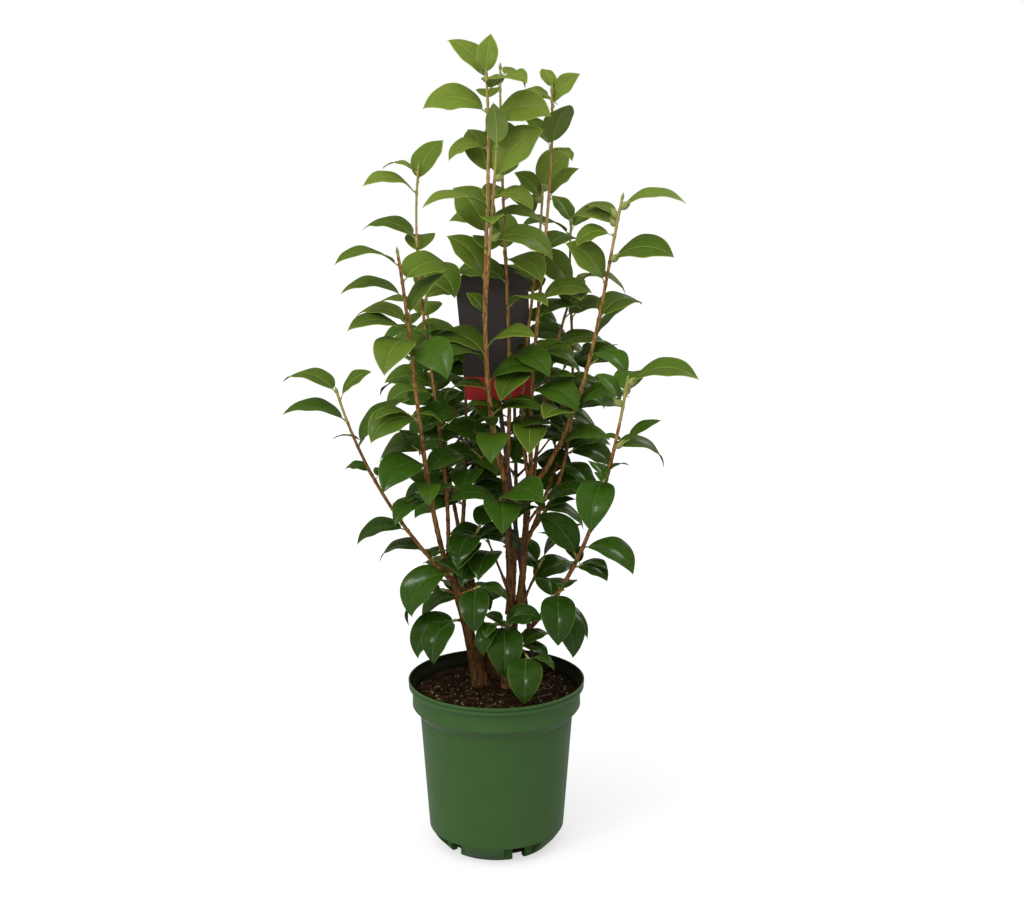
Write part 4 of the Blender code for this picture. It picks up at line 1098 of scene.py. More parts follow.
class Growth:
    """Grows the crown by the seeded rule of the solids, and then its finer spurs."""

    # The shade values deal out darker greens low, behind and deep in the crown, and lighter ones at its top,
    # front and sides: partly real sun and shade leaves, partly painted shade and painted light.
    shade_floor = 0.34
    shade_span = 0.57
    shade_front = 1.5
    shade_side = 10.0
    side_start = 0.13
    shade_spread = 0.8
    tint_seed = 7000
    spur_seed = 5000
    spur_ceiling = 0.66
    spur_chance = 0.34
    spur_lean = 0.8
    spur_swing = 25.0
    spur_length = (0.01, 0.02)
    spur_turns = (0.0, 137.0, -137.0)
    spur_spacing = 0.2
    small_size = (0.48, 0.7)
    small_breadth = (0.46, 0.58)
    small_swing = 20.0
    small_lift = (20.0, 55.0)
    small_droop = (50.0, 90.0)
    small_roll = 16.0
    small_petiole = 0.005

    def __init__(self) -> None:
        self.space = Space()
        self.grown: list[GrownShoot] = []

    def run(self) -> list[GrownShoot]:
        """Grow every shoot and return them all, each side twig as a shoot of its own."""
        for name in ("pot", "soil", "care_tag", *(limb.name for limb in TRUNKS + LIMBS)):
            self.space.add_node(name)
        for shoot in SHOOTS:
            if shoot.bare > 0.0:
                self.space.add_node("bough_" + shoot.name)
        for shoot in SHOOTS:
            owner = "spray_" + shoot.name
            self.space.add(owner, *stem_solid(shoot, shoot.bare))
            self.space.add(owner, *self.tip_bud(shoot))
            for twig in shoot.side_shoots():
                self.space.add(owner, *stem_solid(twig, 0.0))
                self.space.add(owner, *self.tip_bud(twig))
        owners = []
        for shoot in SHOOTS:
            for stem in (shoot, *shoot.side_shoots()):
                self.grown.append(self.grow(stem, "spray_" + shoot.name))
                owners.append("spray_" + shoot.name)
        for grown, owner in zip(self.grown, owners):
            self.grow_spurs(grown, owner)
        return self.grown

    @staticmethod
    def tip_bud(shoot: Shoot) -> Solid:
        """The room of the slim bud at the end of a shoot."""
        way = shoot.direction(1.0)
        return bud_solid(shoot.along(1.0) - way * TIP_BUD_SINK, way, TIP_BUD_LENGTH, TIP_BUD_RADIUS)

    @staticmethod
    def leaf_from_mark(shoot: Shoot, mark: str, share: float, draw: list[float], turn: float) -> Leaf:
        """The leaf that a mark asks for.

        Args:
            shoot: The shoot that carries it.
            mark: Its compass point and habit letters.
            share: Where it stands on the shoot.
            draw: Six seeded draws between -1 and 1.
            turn: Degrees that it is turned to find room.

        Returns:
            The leaf.
        """
        letters = "".join(sign for sign in mark if sign in "NESW")
        habits = mark[len(letters):]
        steep = habits.count("^")
        hanging = habits.count("v")
        size = (1.0 + draw[0] * SIZE_JITTER) * LARGER ** habits.count("+") * SMALLER ** habits.count("-")
        length = LEAF_LENGTH * size
        bearing = COMPASS.index(letters) * COMPASS_STEP + draw[3] * BEARING_JITTER + turn
        facing = LIGHT_ROLL + FACING_ROLL * habits.count("f")
        roll = draw[5] * ROLL_JITTER - facing * math.cos(math.radians(bearing))
        lift = LEAF_LIFT + draw[1] * LIFT_JITTER + STEEP_LIFT * steep - HANGING_DROP * hanging
        droop = (LEAF_DROOP + draw[2] * DROOP_JITTER) * STEEP_DROOP ** steep + HANGING_DROOP * hanging
        width = length * LEAF_WIDTH_SHARE * (1.0 + draw[4] * WIDTH_JITTER)
        return Leaf(shoot.along(share), bearing, length, width, lift, droop, roll)

    def shade_of(self, point: Vector, chance: random.Random) -> Shade:
        """The green of a spray at a place: lighter towards the top, the front and the sides, partly as
        painted light, and darker low and behind, partly as painted shade.
        """
        height = (point.z - self.shade_floor) / self.shade_span * (len(Shade) - 1)
        beside = max(0.0, abs(point.x) - self.side_start)
        level = height - point.y * self.shade_front + beside * self.shade_side
        level += chance.uniform(-self.shade_spread, self.shade_spread)
        return Shade(max(0, min(len(Shade) - 1, round(level))))

    def grow(self, shoot: Shoot, owner: str) -> GrownShoot:
        """Grow every leaf of a shoot that finds room, with the draws in the order of the solids.

        Args:
            shoot: The shoot.
            owner: The name of the spray that it belongs to.

        Returns:
            The shoot with its leaves.
        """
        rule = random.Random(shoot.seed)
        tint = random.Random(shoot.seed + self.tint_seed)
        grown = GrownShoot(shoot)
        for flush in shoot.flushes:
            start, end, *names = flush.split()
            first, last = float(start), float(end)
            for index, mark in enumerate(names):
                draw = [rule.uniform(-1.0, 1.0) for _ in range(6)]
                nudge = rule.uniform(-NODE_JITTER, NODE_JITTER)
                step = (last - first) / max(1, len(names) - 1)
                share = min(last, max(first, first + step * (index + nudge)))
                for turn in RETRY_TURNS:
                    leaf = self.leaf_from_mark(shoot, mark, share, draw, turn)
                    if self.space.is_free(owner, *leaf.solid(LEAF_CLEARANCE)):
                        self.space.add(owner + "_leaf", *leaf.solid())
                        break
                else:
                    continue
                flowering = "b" in mark
                shade = self.shade_of(leaf.root, tint)
                grown.leaves.append(GrownLeaf(leaf, share, shade, flowering, False))
                if flowering:
                    way = (shoot.direction(share) + level_out(leaf.bearing)).normalized()
                    self.space.add(owner, *bud_solid(shoot.along(share), way, BUD_LENGTH, BUD_RADIUS))
        return grown

    def grow_spurs(self, grown: GrownShoot, owner: str) -> None:
        """Carry a shoot on to finer twigs: short spurs in the axils of its lower leaves.

        Args:
            grown: The shoot with its leaves, which gets the spurs' small leaves too.
            owner: The name of the spray that it belongs to.
        """
        rule = random.Random(grown.shoot.seed + self.spur_seed)
        for parent in list(grown.leaves):
            if rule.random() > self.spur_chance or parent.leaf.root.z > self.spur_ceiling:
                continue
            out = level_out(parent.leaf.bearing + rule.uniform(-self.spur_swing, self.spur_swing))
            way = (grown.shoot.direction(parent.share) * self.spur_lean + out).normalized()
            spur = Spur(parent.leaf.root, way, rule.uniform(*self.spur_length))
            placed = 0
            for turn in self.spur_turns:
                size = LEAF_LENGTH * rule.uniform(*self.small_size)
                bearing = parent.leaf.bearing + turn + rule.uniform(-self.small_swing, self.small_swing)
                root = spur.root + spur.way * (spur.length * (1.0 - self.spur_spacing * placed))
                leaf = Leaf(root, bearing, size, width=size * rule.uniform(*self.small_breadth),
                            lift=rule.uniform(*self.small_lift), droop=rule.uniform(*self.small_droop),
                            roll=rule.uniform(-self.small_roll, self.small_roll), petiole=self.small_petiole)
                if self.space.is_free(owner, *leaf.solid(LEAF_CLEARANCE)):
                    self.space.add(owner + "_leaf", *leaf.solid())
                    grown.leaves.append(GrownLeaf(leaf, parent.share, parent.shade, False, True))
                    placed += 1
            if placed:
                grown.spurs.append(spur)


@dataclass(frozen=True)
class Blade:
    """The make of a leaf: its outline, its ribs, its toothed edge and its stalk, in metres and shares."""

    stations: int = 54
    inner: int = 2
    line_steps: int = 400
    line_lead: float = 0.1
    fullness: float = 0.72
    point: float = 0.45
    end_half: float = 0.0002
    rib_half: float = 0.00055
    rib_taper: float = 0.6
    rib_most: float = 0.34
    under_rib: float = 1.5
    edge_line: float = 0.00052
    edge_least: float = 0.62
    thickness: float = 0.0006
    edge_thickness: float = 0.00034
    ridge: float = 0.00055
    ridge_taper: float = 0.75
    groove: float = 0.35
    crease: float = 0.35
    laterals: float = 7.0
    slant: float = 0.17
    quilting: float = 0.00026
    wave: float = 0.00075
    waves: float = 2.4
    edge_roll: float = 0.05
    tooth: float = 0.00042
    tooth_lean: float = 0.4
    toothed: Pair = (0.14, 0.95)
    stalk_radii: Pair = (0.00115, 0.00085)
    stalk_places: tuple[float, ...] = (-0.12, 0.12, 0.4, 0.75, 1.0, 1.35, 1.9)
    stalk_swell: tuple[float, ...] = (1.25, 1.15, 0.95, 0.95, 1.0, 0.75, 0.3)
    stalk_sink: float = 0.0005
    stalk_flatness: float = 0.85
    stalk_sides: int = 7

    def half_width(self, share: np.ndarray) -> np.ndarray:
        """The half width as a share of its greatest, drawn out to a point at the tip."""
        rounded = np.clip(np.sin(np.pi * share ** BLADE_SHIFT), 0.0, 1.0)
        return rounded ** (self.fullness + self.point * share ** 4) * (1.0 - BLADE_TAPER * share)

    def centre_line(self, leaf: Leaf, distances: np.ndarray) -> tuple[np.ndarray, ...]:
        """The centre line at distances from the root.

        Args:
            leaf: The leaf.
            distances: In metres, along the stalk and the blade.

        Returns:
            Arrays of points, ways, sides and ups.
        """
        whole = leaf.petiole + leaf.length
        fine = np.linspace(-self.line_lead * whole, whole, self.line_steps)
        shift = 0.5 / LEAF_STEPS * whole
        bent = np.clip((fine - shift - leaf.petiole) / leaf.length, 0.0, 1.0)
        angle = np.radians(leaf.lift - leaf.droop * bent)
        step = fine[1] - fine[0]
        forward = np.concatenate(([0.0], np.cumsum(np.cos(angle[:-1]) * step)))
        upward = np.concatenate(([0.0], np.cumsum(np.sin(angle[:-1]) * step)))
        forward = np.interp(distances, fine, forward - np.interp(0.0, fine, forward))
        upward = np.interp(distances, fine, upward - np.interp(0.0, fine, upward))
        turn = np.interp(distances, fine, angle)[:, None]
        out = np.array(level_out(leaf.bearing))
        across = np.array((-out[1], out[0], 0.0))
        rise = np.array((0.0, 0.0, 1.0))
        points = np.array(leaf.root) + forward[:, None] * out + upward[:, None] * rise
        ways = out * np.cos(turn) + rise * np.sin(turn)
        ups = np.cross(ways, -across)
        share = np.clip((distances - leaf.petiole) / leaf.length, 0.0, 1.0)
        tilt = np.radians(leaf.roll) * np.minimum(1.0, ROLL_AT_STALK + share)[:, None]
        sides = across * np.cos(tilt) + ups * np.sin(tilt)
        return points, ways, sides, -np.cross(sides, ways)

    def rise(self, share: np.ndarray, places: np.ndarray, half: np.ndarray, phases: tuple) -> np.ndarray:
        """How far the blade's middle surface stands above its centre line.

        Args:
            share: The stations, as a column.
            places: -1 to 1 across the blade, one row for each station.
            half: The half widths, as a column.
            phases: The phases of the two edges' waves.

        Returns:
            The heights, in metres.
        """
        out = np.abs(places)
        fold = LEAF_FOLD * half * ((1.0 + self.crease) * out - self.crease * out ** 2)
        fold = fold - self.edge_roll * half * out ** 4
        along = np.cos(2.0 * np.pi * self.laterals * (share - self.slant * out))
        window = np.sin(np.pi * np.clip(out, 0.0, 1.0)) * np.sin(np.pi * np.clip(share, 0.0, 1.0)) ** 0.5
        veins = -self.quilting * ((1.0 + along) / 2.0) ** 2 * window
        phase = np.where(places < 0.0, phases[0], phases[1])
        waves = self.wave * out ** 2 * np.sin(2.0 * np.pi * self.waves * share + phase)
        return fold + veins + waves * np.sin(np.pi * share)

    def add_to(self, bag: MeshBag, leaf: Leaf, rows: tuple[int, int, int], phases: tuple) -> None:
        """Build one leaf into a bag.

        Args:
            bag: The bag.
            leaf: The leaf's place and bend.
            rows: The material rows of its blade, underside and veins.
            phases: The phases of the two edges' waves.
        """
        count = self.stations + 1
        share = np.linspace(0.0, 1.0, count)
        points, ways, sides, ups = self.centre_line(leaf, leaf.petiole + share * leaf.length)
        half = np.maximum(self.end_half, leaf.width / 2.0 * self.half_width(share))[:, None]
        share = share[:, None]
        rib = np.minimum(self.rib_most, self.rib_half * (1.0 - self.rib_taper * share) / half)
        edge = np.maximum(self.edge_least, 1.0 - self.edge_line / half)
        steps = np.arange(0, self.inner + 2) / (self.inner + 1.0)
        right = np.concatenate((rib + (edge - rib) * steps, np.ones_like(rib)), axis=1)
        top = np.concatenate((-right[:, ::-1], np.zeros_like(rib), right), axis=1)
        low_right = np.concatenate((rib * self.under_rib, rib + (1.0 - rib) * 0.5, np.ones_like(rib)), axis=1)
        under = np.concatenate((-low_right[:, ::-1], np.zeros_like(rib), low_right), axis=1)
        teeth = np.zeros(count)
        odd = np.arange(count) % 2 == 1
        inside = (share[:, 0] > self.toothed[0]) & (share[:, 0] < self.toothed[1])
        teeth[odd & inside] = self.tooth
        spacing = leaf.length / self.stations

        def surface(places: np.ndarray, lifted: float) -> np.ndarray:
            """The points of one face of the blade, lifted to its side of the middle surface."""
            at_edge = np.abs(places) > 1.0 - ROUNDING
            thick = np.where(at_edge, self.edge_thickness, self.thickness) / 2.0
            height = self.rise(share, places, half, phases) + lifted * thick
            below = self.ridge * (1.0 - self.ridge_taper * share)
            dip = -self.groove * self.thickness if lifted > 0.0 else -below
            height = height + np.where(np.abs(places) < ROUNDING, dip, 0.0)
            outer = np.where(at_edge, np.sign(places), 0.0) * teeth[:, None]
            forward = np.abs(outer) / self.tooth * self.tooth_lean * spacing
            return (spread_out(points, sides, ups, places * half + outer, height)
                    + ways[:, None] * forward[..., None])

        wide = top.shape[1]
        narrow = under.shape[1]
        base = count * wide
        last = self.stations
        quads = grid_faces(count, wide)[:, ::-1].reshape(last, wide - 1, 4)
        # The midrib and a narrow band at each edge take the vein finish; the pale edge and the rims are
        # partly the leaf's own pale margin, partly a painted highlight along it.
        veins = np.zeros(wide - 1, dtype=bool)
        veins[[0, wide - 2, wide // 2 - 1, wide // 2]] = True
        low_quads = grid_faces(count, narrow).reshape(last, narrow - 1, 4) + base
        ribbed = np.zeros(narrow - 1, dtype=bool)
        ribbed[[narrow // 2 - 1, narrow // 2]] = True
        here = np.arange(last) * wide
        below = base + np.arange(last) * narrow
        left = np.stack((here, below, below + narrow, here + wide), axis=-1)
        right_rim = np.stack((here + wide - 1, here + 2 * wide - 1, below + 2 * narrow - 1,
                              below + narrow - 1), axis=-1)
        foot = np.concatenate((np.arange(wide), base + np.arange(narrow)[::-1]))[None]
        tip = np.concatenate((last * wide + np.arange(wide)[::-1],
                              base + last * narrow + np.arange(narrow)))[None]
        blade_row, under_row, vein_row = rows
        bag.add(np.concatenate((surface(top, 1.0).reshape(-1, 3), surface(under, -1.0).reshape(-1, 3))),
                (quads[:, ~veins].reshape(-1, 4), blade_row), (quads[:, veins].reshape(-1, 4), vein_row),
                (low_quads[:, ~ribbed].reshape(-1, 4), under_row),
                (low_quads[:, ribbed].reshape(-1, 4), vein_row),
                *((rim, vein_row) for rim in (left, right_rim, foot, tip)))
        self.add_stalk(bag, leaf, vein_row)

    def add_stalk(self, bag: MeshBag, leaf: Leaf, row: int) -> None:
        """Build a leaf's stalk, from inside the stem to under the blade's rib."""
        count = len(self.stalk_places)
        points, _, sides, ups = self.centre_line(leaf, np.array(self.stalk_places) * leaf.petiole)
        size = min(1.0, leaf.length / LEAF_LENGTH)
        radius = np.linspace(*self.stalk_radii, count) * np.array(self.stalk_swell) * size
        sink = np.linspace(0.0, 1.0, count)[:, None] * -self.stalk_sink * size
        angle = circle(self.stalk_sides)
        rings = spread_out(points + ups * sink, sides, ups, np.cos(angle) * radius[:, None],
                           np.sin(angle) * radius[:, None] * self.stalk_flatness)
        bag.add(rings.reshape(-1, 3), *capped_tube(count, self.stalk_sides, row, flipped=True))


@dataclass(frozen=True)
class Tube:
    """A skin of bark along a limb, with a collar at its foot and knuckles under its leaves."""

    limb: Limb
    sides: int
    step: float
    relief: float
    grain: float
    collar: float = 0.0
    collar_reach: float = 0.006
    knuckle: float = 0.0
    knuckle_spread: float = 0.0018
    sink: float = 0.0
    stretch: Pair = (0.22, 0.5)
    fine_grain: float = 3.3
    fine_share: float = 0.45
    tip_reach: float = 0.6

    def bark(self, spot: Vector) -> float:
        """How far the bark stands out at a place: long furrows with finer ones on them."""
        coarse, fine = (noise.noise(Vector((spot.x, spot.y, spot.z * stretch)) * grain)
                        for stretch, grain in zip(self.stretch, (self.grain, self.grain * self.fine_grain)))
        return self.relief * (coarse + self.fine_share * fine)

    def add_to(self, bag: MeshBag, rows: list[tuple[float, int]], knuckles: list[float]) -> None:
        """Build the tube into a bag.

        Args:
            bag: The bag.
            rows: Pairs of the share where a finish starts and its material row, in order.
            knuckles: Shares at which the stem swells, under its leaves.
        """
        limb = self.limb
        length = limb.length()
        shares = np.linspace(-self.sink / length, 1.0, max(3, math.ceil(length / self.step)))
        side = Vector((1.0, 0.0, 0.0))
        skin = []
        for share in shares:
            centre = limb.along(share)
            way = limb.direction(share)
            side = (side - way * side.dot(way)).normalized()
            other = way.cross(side)
            radius = limb.radius(max(0.0, share), length)
            radius += self.collar * math.exp(-max(0.0, share * length) / self.collar_reach)
            for knot in knuckles:
                away = (share - knot) * length / self.knuckle_spread
                radius += self.knuckle * math.exp(-away * away)
            lobes = limb.flare * LOBE_SHARE * math.exp(-max(0.0, share) * LOBE_FADE)
            for index in range(self.sides):
                angle = FULL_TURN * index / self.sides
                out = side * math.cos(angle) + other * math.sin(angle)
                spot = centre + out * (radius + lobes * math.cos(ROOT_LOBES * angle))
                skin.append(spot + out * self.bark(spot))
        points = np.array(skin, dtype=np.float64)
        count = len(shares)
        body, foot_fan, tip_fan = (faces for faces, _ in turned_skin(count, self.sides))
        body = body.reshape(count - 1, self.sides, 4)
        patches: list[Faces] = []
        low = 0
        for (_, row), until in zip(rows, [start for start, _ in rows[1:]] + [2.0]):
            high = min(count - 1, int(np.searchsorted(shares, until)))
            if high > low:
                patches.append((body[low:high].reshape(-1, 4), row))
                low = high
        reach = np.array(limb.direction(1.0)) * limb.radii[1] * self.tip_reach
        tip = points[-self.sides:].mean(axis=0) + reach
        foot = points[:self.sides].mean(axis=0)
        bag.add(np.concatenate((points, foot[None], tip[None])), *patches, (foot_fan, rows[0][1]),
                (tip_fan, rows[-1][1]))


@dataclass(frozen=True)
class Bud:
    """A closed bud: a plump body wrapped in overlapping scales."""

    length: float
    radius: float
    scales: int
    sides: int = 12
    rings: int = 9
    plumpness: Pair = (0.72, 0.85)
    taper: float = 0.25
    ends: Pair = (0.03, 0.985)
    first_scale: float = 0.02
    scale_spread: float = 0.4
    scale_turn: float = 2.4
    scale_steps: int = 7
    scale_end: float = 0.97
    scale_length: float = 0.72
    scale_half_angle: float = 1.15
    scale_outline: Pair = (2.4, 0.6)
    scale_tip: float = 0.02
    scale_lift: float = 0.00022
    scale_root_lift: float = 0.4
    scale_gap: float = 0.00004
    body_row: int = 0
    scale_row: int = 1

    def profile(self, part: np.ndarray) -> np.ndarray:
        """The radius at a share of the length: widest below the middle and drawn in to a point."""
        part = np.clip(part, 0.0, 1.0)
        rounded = np.clip(np.sin(np.pi * part ** self.plumpness[0]), 0.0, 1.0) ** self.plumpness[1]
        return self.radius * rounded * (1.0 - self.taper * part)

    def add_to(self, bag: MeshBag, root: Vector, way: Vector, turn: float) -> None:
        """Build the bud into a bag.

        Args:
            bag: The bag.
            root: Where it starts.
            way: Where it points.
            turn: The bearing of its first scale, in radians.
        """
        side = np.array(way.orthogonal().normalized())
        axis = np.array(way)
        other = np.cross(axis, side)
        part = np.linspace(*self.ends, self.rings)
        angle = circle(self.sides)
        out = side * np.cos(angle)[:, None] + other * np.sin(angle)[:, None]
        body = (np.array(root) + axis * (part * self.length)[:, None, None]
                + out[None] * self.profile(part)[:, None, None])
        bag.add(body.reshape(-1, 3), *capped_tube(self.rings, self.sides, self.body_row))
        for index in range(self.scales):
            start = self.first_scale + self.scale_spread * index / max(1, self.scales)
            self.add_scale(bag, np.array(root), (side, other, axis), start, turn + self.scale_turn * index)

    def add_scale(self, bag: MeshBag, root: np.ndarray, axes: tuple, start: float, turn: float) -> None:
        """Build one pointed scale that hugs the body.

        Args:
            bag: The bag.
            root: The bud's root.
            axes: The bud's two cross directions and its axis.
            start: The share of the bud's length where the scale starts.
            turn: Its bearing, in radians.
        """
        side, other, axis = axes
        rows = np.linspace(0.0, 1.0, self.scale_steps)[:, None]
        columns = np.linspace(-1.0, 1.0, self.scale_steps)[None, :]
        part = start + (self.scale_end - start) * rows * self.scale_length
        fall, draw = self.scale_outline
        wide = self.scale_half_angle * (1.0 - rows ** fall) ** draw + self.scale_tip
        angle = turn + columns * wide
        crowned = self.scale_lift * (1.0 - np.abs(columns) ** 3)
        reach = self.profile(part) + (crowned * (self.scale_root_lift + rows) + self.scale_gap)
        height = part * self.length + np.zeros_like(angle)
        points = (root + axis * height[..., None]
                  + (side * np.cos(angle)[..., None] + other * np.sin(angle)[..., None]) * reach[..., None])
        bag.add(points.reshape(-1, 3), (grid_faces(self.scale_steps, self.scale_steps), self.scale_row))


@dataclass
class Crown:
    """Every leaf, stem and bud of the plant, joined by kind for each part of the crown."""

    wardrobe: Wardrobe
    blade: Blade = Blade()
    fine_blade: Blade = Blade(stations=26, inner=1, tooth=0.00025, laterals=6.0, quilting=0.00015,
                              wave=0.0004, rib_half=0.00035, edge_line=0.00032)
    flower_bud: Bud = Bud(BUD_LENGTH * 1.1, BUD_RADIUS, scales=8, sides=16, rings=12)
    tip_bud: Bud = Bud(TIP_BUD_LENGTH, TIP_BUD_RADIUS, scales=4, sides=9, rings=8)
    axil_bud: Bud = Bud(0.0042, 0.0011, scales=2, sides=6, rings=5)
    stem_sides: int = 12
    twig_sides: int = 8
    spur_sides: int = 6
    stem_step: float = 0.0022
    spur_step: float = 0.0025
    stem_relief: float = 0.00022
    spur_relief: float = 0.0001
    grain: float = 900.0
    stem_collar: float = 0.35
    spur_collar: float = 0.0004
    spur_radii: Pair = (0.0011, 0.0008)
    knuckle: float = 0.0005
    old_nodes: Pair = (0.04, 0.035)
    axil_inset: float = 0.6
    axil_rise: float = 0.0012
    spur_bud_sink: float = 0.001
    green_share: float = 0.86
    bark_heights: Pair = (0.55, 0.78)

    def build(self) -> None:
        """Grow the crown and dress each part of it."""
        grown = Growth().run()
        LOG.info("the crown has %d leaves", sum(len(item.leaves) for item in grown))
        for stand in Stand:
            members = [item for item in grown if item.shoot.stand() is stand]
            nodes = sorted({name for shoot in SHOOTS if shoot.stand() is stand for name in shoot.nodes()})
            place(self.leaves(stand, members), Slot.FOLIAGE, *nodes)
            place(self.stems(stand, members), Slot.YOUNG_BARK, *nodes)
            place(self.buds(stand, members), Slot.FOLIAGE, *nodes)

    def leaves(self, stand: Stand, members: list[GrownShoot]) -> Piece:
        """The leaves of one part of the crown."""
        bag = MeshBag()
        rule = random.Random(stand.value)
        for grown in members:
            for item in grown.leaves:
                phases = (rule.uniform(0.0, ANY_TURN), rule.uniform(0.0, ANY_TURN))
                blade = self.fine_blade if item.fine else self.blade
                blade.add_to(bag, item.leaf, leaf_rows(item.shade), phases)
        return bag.build("leaves_" + stand.value, self.wardrobe.rows(*LEAF_FINISHES), sharp=48.0)

    def share_at(self, shoot: Shoot, height: float) -> float:
        """The share of a shoot's length at a height, or where its green tip starts if it ends below that."""
        foot, tip = shoot.foot[2], shoot.tip[2]
        return self.green_share if tip <= height else max(0.0, (height - foot) / (tip - foot))

    def stems(self, stand: Stand, members: list[GrownShoot]) -> Piece:
        """The bark of one part's shoots, twigs and spurs."""
        bag = MeshBag()
        for grown in members:
            shoot = grown.shoot
            knuckles = [item.share for item in grown.leaves if not item.fine]
            first, spacing = self.old_nodes
            knuckles += list(np.arange(first, shoot.bare, spacing))
            green = len(YOUNG_BARKS) - 1
            rows = [(-1.0, 0), *((self.share_at(shoot, height), row) for row, height in
                                 enumerate(self.bark_heights, 1)), (self.green_share, green)]
            sides = self.twig_sides if shoot.name.endswith("_twig") else self.stem_sides
            Tube(shoot, sides, self.stem_step, self.stem_relief, self.grain, knuckle=self.knuckle,
                 collar=shoot.radii[0] * self.stem_collar).add_to(bag, rows, knuckles)
            for spur in grown.spurs:
                end = spur.root + spur.way * spur.length
                limb = Limb("spur", tuple(spur.root), tuple(end), self.spur_radii)
                Tube(limb, self.spur_sides, self.spur_step, self.spur_relief, self.grain,
                     collar=self.spur_collar).add_to(bag, [(-1.0, green)], [])
        return bag.build("stems_" + stand.value, self.wardrobe.rows(*YOUNG_BARKS), sharp=70.0)

    def buds(self, stand: Stand, members: list[GrownShoot]) -> Piece:
        """The flower buds, tip buds and axil buds of one part of the crown."""
        bag = MeshBag()
        rule = random.Random(stand.value + " buds")
        for grown in members:
            shoot = grown.shoot
            way = shoot.direction(1.0)
            self.tip_bud.add_to(bag, shoot.along(1.0) - way * TIP_BUD_SINK, way, rule.uniform(0.0, ANY_TURN))
            for item in grown.leaves:
                if item.fine:
                    continue
                out = level_out(item.leaf.bearing)
                stem = shoot.direction(item.share)
                bud = self.flower_bud if item.flower_bud else self.axil_bud
                radius = shoot.radii[0] + (shoot.radii[1] - shoot.radii[0]) * item.share
                root = shoot.along(item.share) + out * (radius * self.axil_inset) + stem * self.axil_rise
                bud.add_to(bag, root, (stem + out).normalized(), rule.uniform(0.0, ANY_TURN))
            for spur in grown.spurs:
                root = spur.root + spur.way * (spur.length - self.spur_bud_sink)
                self.axil_bud.add_to(bag, root, spur.way, 0.0)
        return bag.build("buds_" + stand.value, self.wardrobe.rows(*BUD_FINISHES), sharp=60.0)


@dataclass
class Wood:
    """The bark of the trunks and of the limbs that they fork into."""

    wardrobe: Wardrobe
    sides: int = 48
    step: float = 0.0016
    buried: float = 0.006
    trunk_knuckles: tuple[float, ...] = (0.18, 0.33, 0.52, 0.71, 0.88)
    limb_knuckles: tuple[float, ...] = (0.12, 0.26, 0.41, 0.57, 0.73, 0.9)

    def build(self) -> None:
        """Dress every trunk and limb with its own skin."""
        for limb in TRUNKS:
            self.dress(Tube(limb, self.sides, self.step, relief=0.00075, grain=330.0, knuckle=0.0005,
                            knuckle_spread=0.003, sink=self.buried), self.trunk_knuckles)
        for limb in LIMBS:
            self.dress(Tube(limb, self.sides // 2, self.step, relief=0.00045, grain=480.0, collar=0.0022,
                            collar_reach=0.009, knuckle=0.0004, knuckle_spread=0.0025), self.limb_knuckles)

    def dress(self, tube: Tube, knuckles: tuple[float, ...]) -> None:
        """Build one skin and let it stand for its solid."""
        bag = MeshBag()
        tube.add_to(bag, [(-1.0, 0)], list(knuckles))
        name = tube.limb.name
        place(bag.build(name + "_bark", self.wardrobe.rows(*OLD_BARKS), sharp=80.0), Slot.OLD_BARK, name)


def rounded_profile(corners: list[tuple[float, float, float]], steps: int = 6) -> list[Pair]:
    """A profile whose corners are rounded by arcs.

    Args:
        corners: Each corner's radius from the axis, height, and fillet, in metres.
        steps: Points on each arc.

    Returns:
        The profile's points.
    """
    made: list[Pair] = []
    for index, (x, z, fillet) in enumerate(corners):
        if fillet <= 0.0 or index in (0, len(corners) - 1):
            made.append((x, z))
            continue
        here = Vector((x, z))
        before = Vector(corners[index - 1][:2]) - here
        after = Vector(corners[index + 1][:2]) - here
        half = before.angle(after) / 2.0
        reach = min(fillet / math.tan(half), before.length * FILLET_ROOM, after.length * FILLET_ROOM)
        start = here + before.normalized() * reach
        end = here + after.normalized() * reach
        for step in range(steps + 1):
            part = step / steps
            curve = start * (1.0 - part) ** 2 + here * (2.0 * part * (1.0 - part)) + end * part ** 2
            made.append(tuple(curve))
    return made


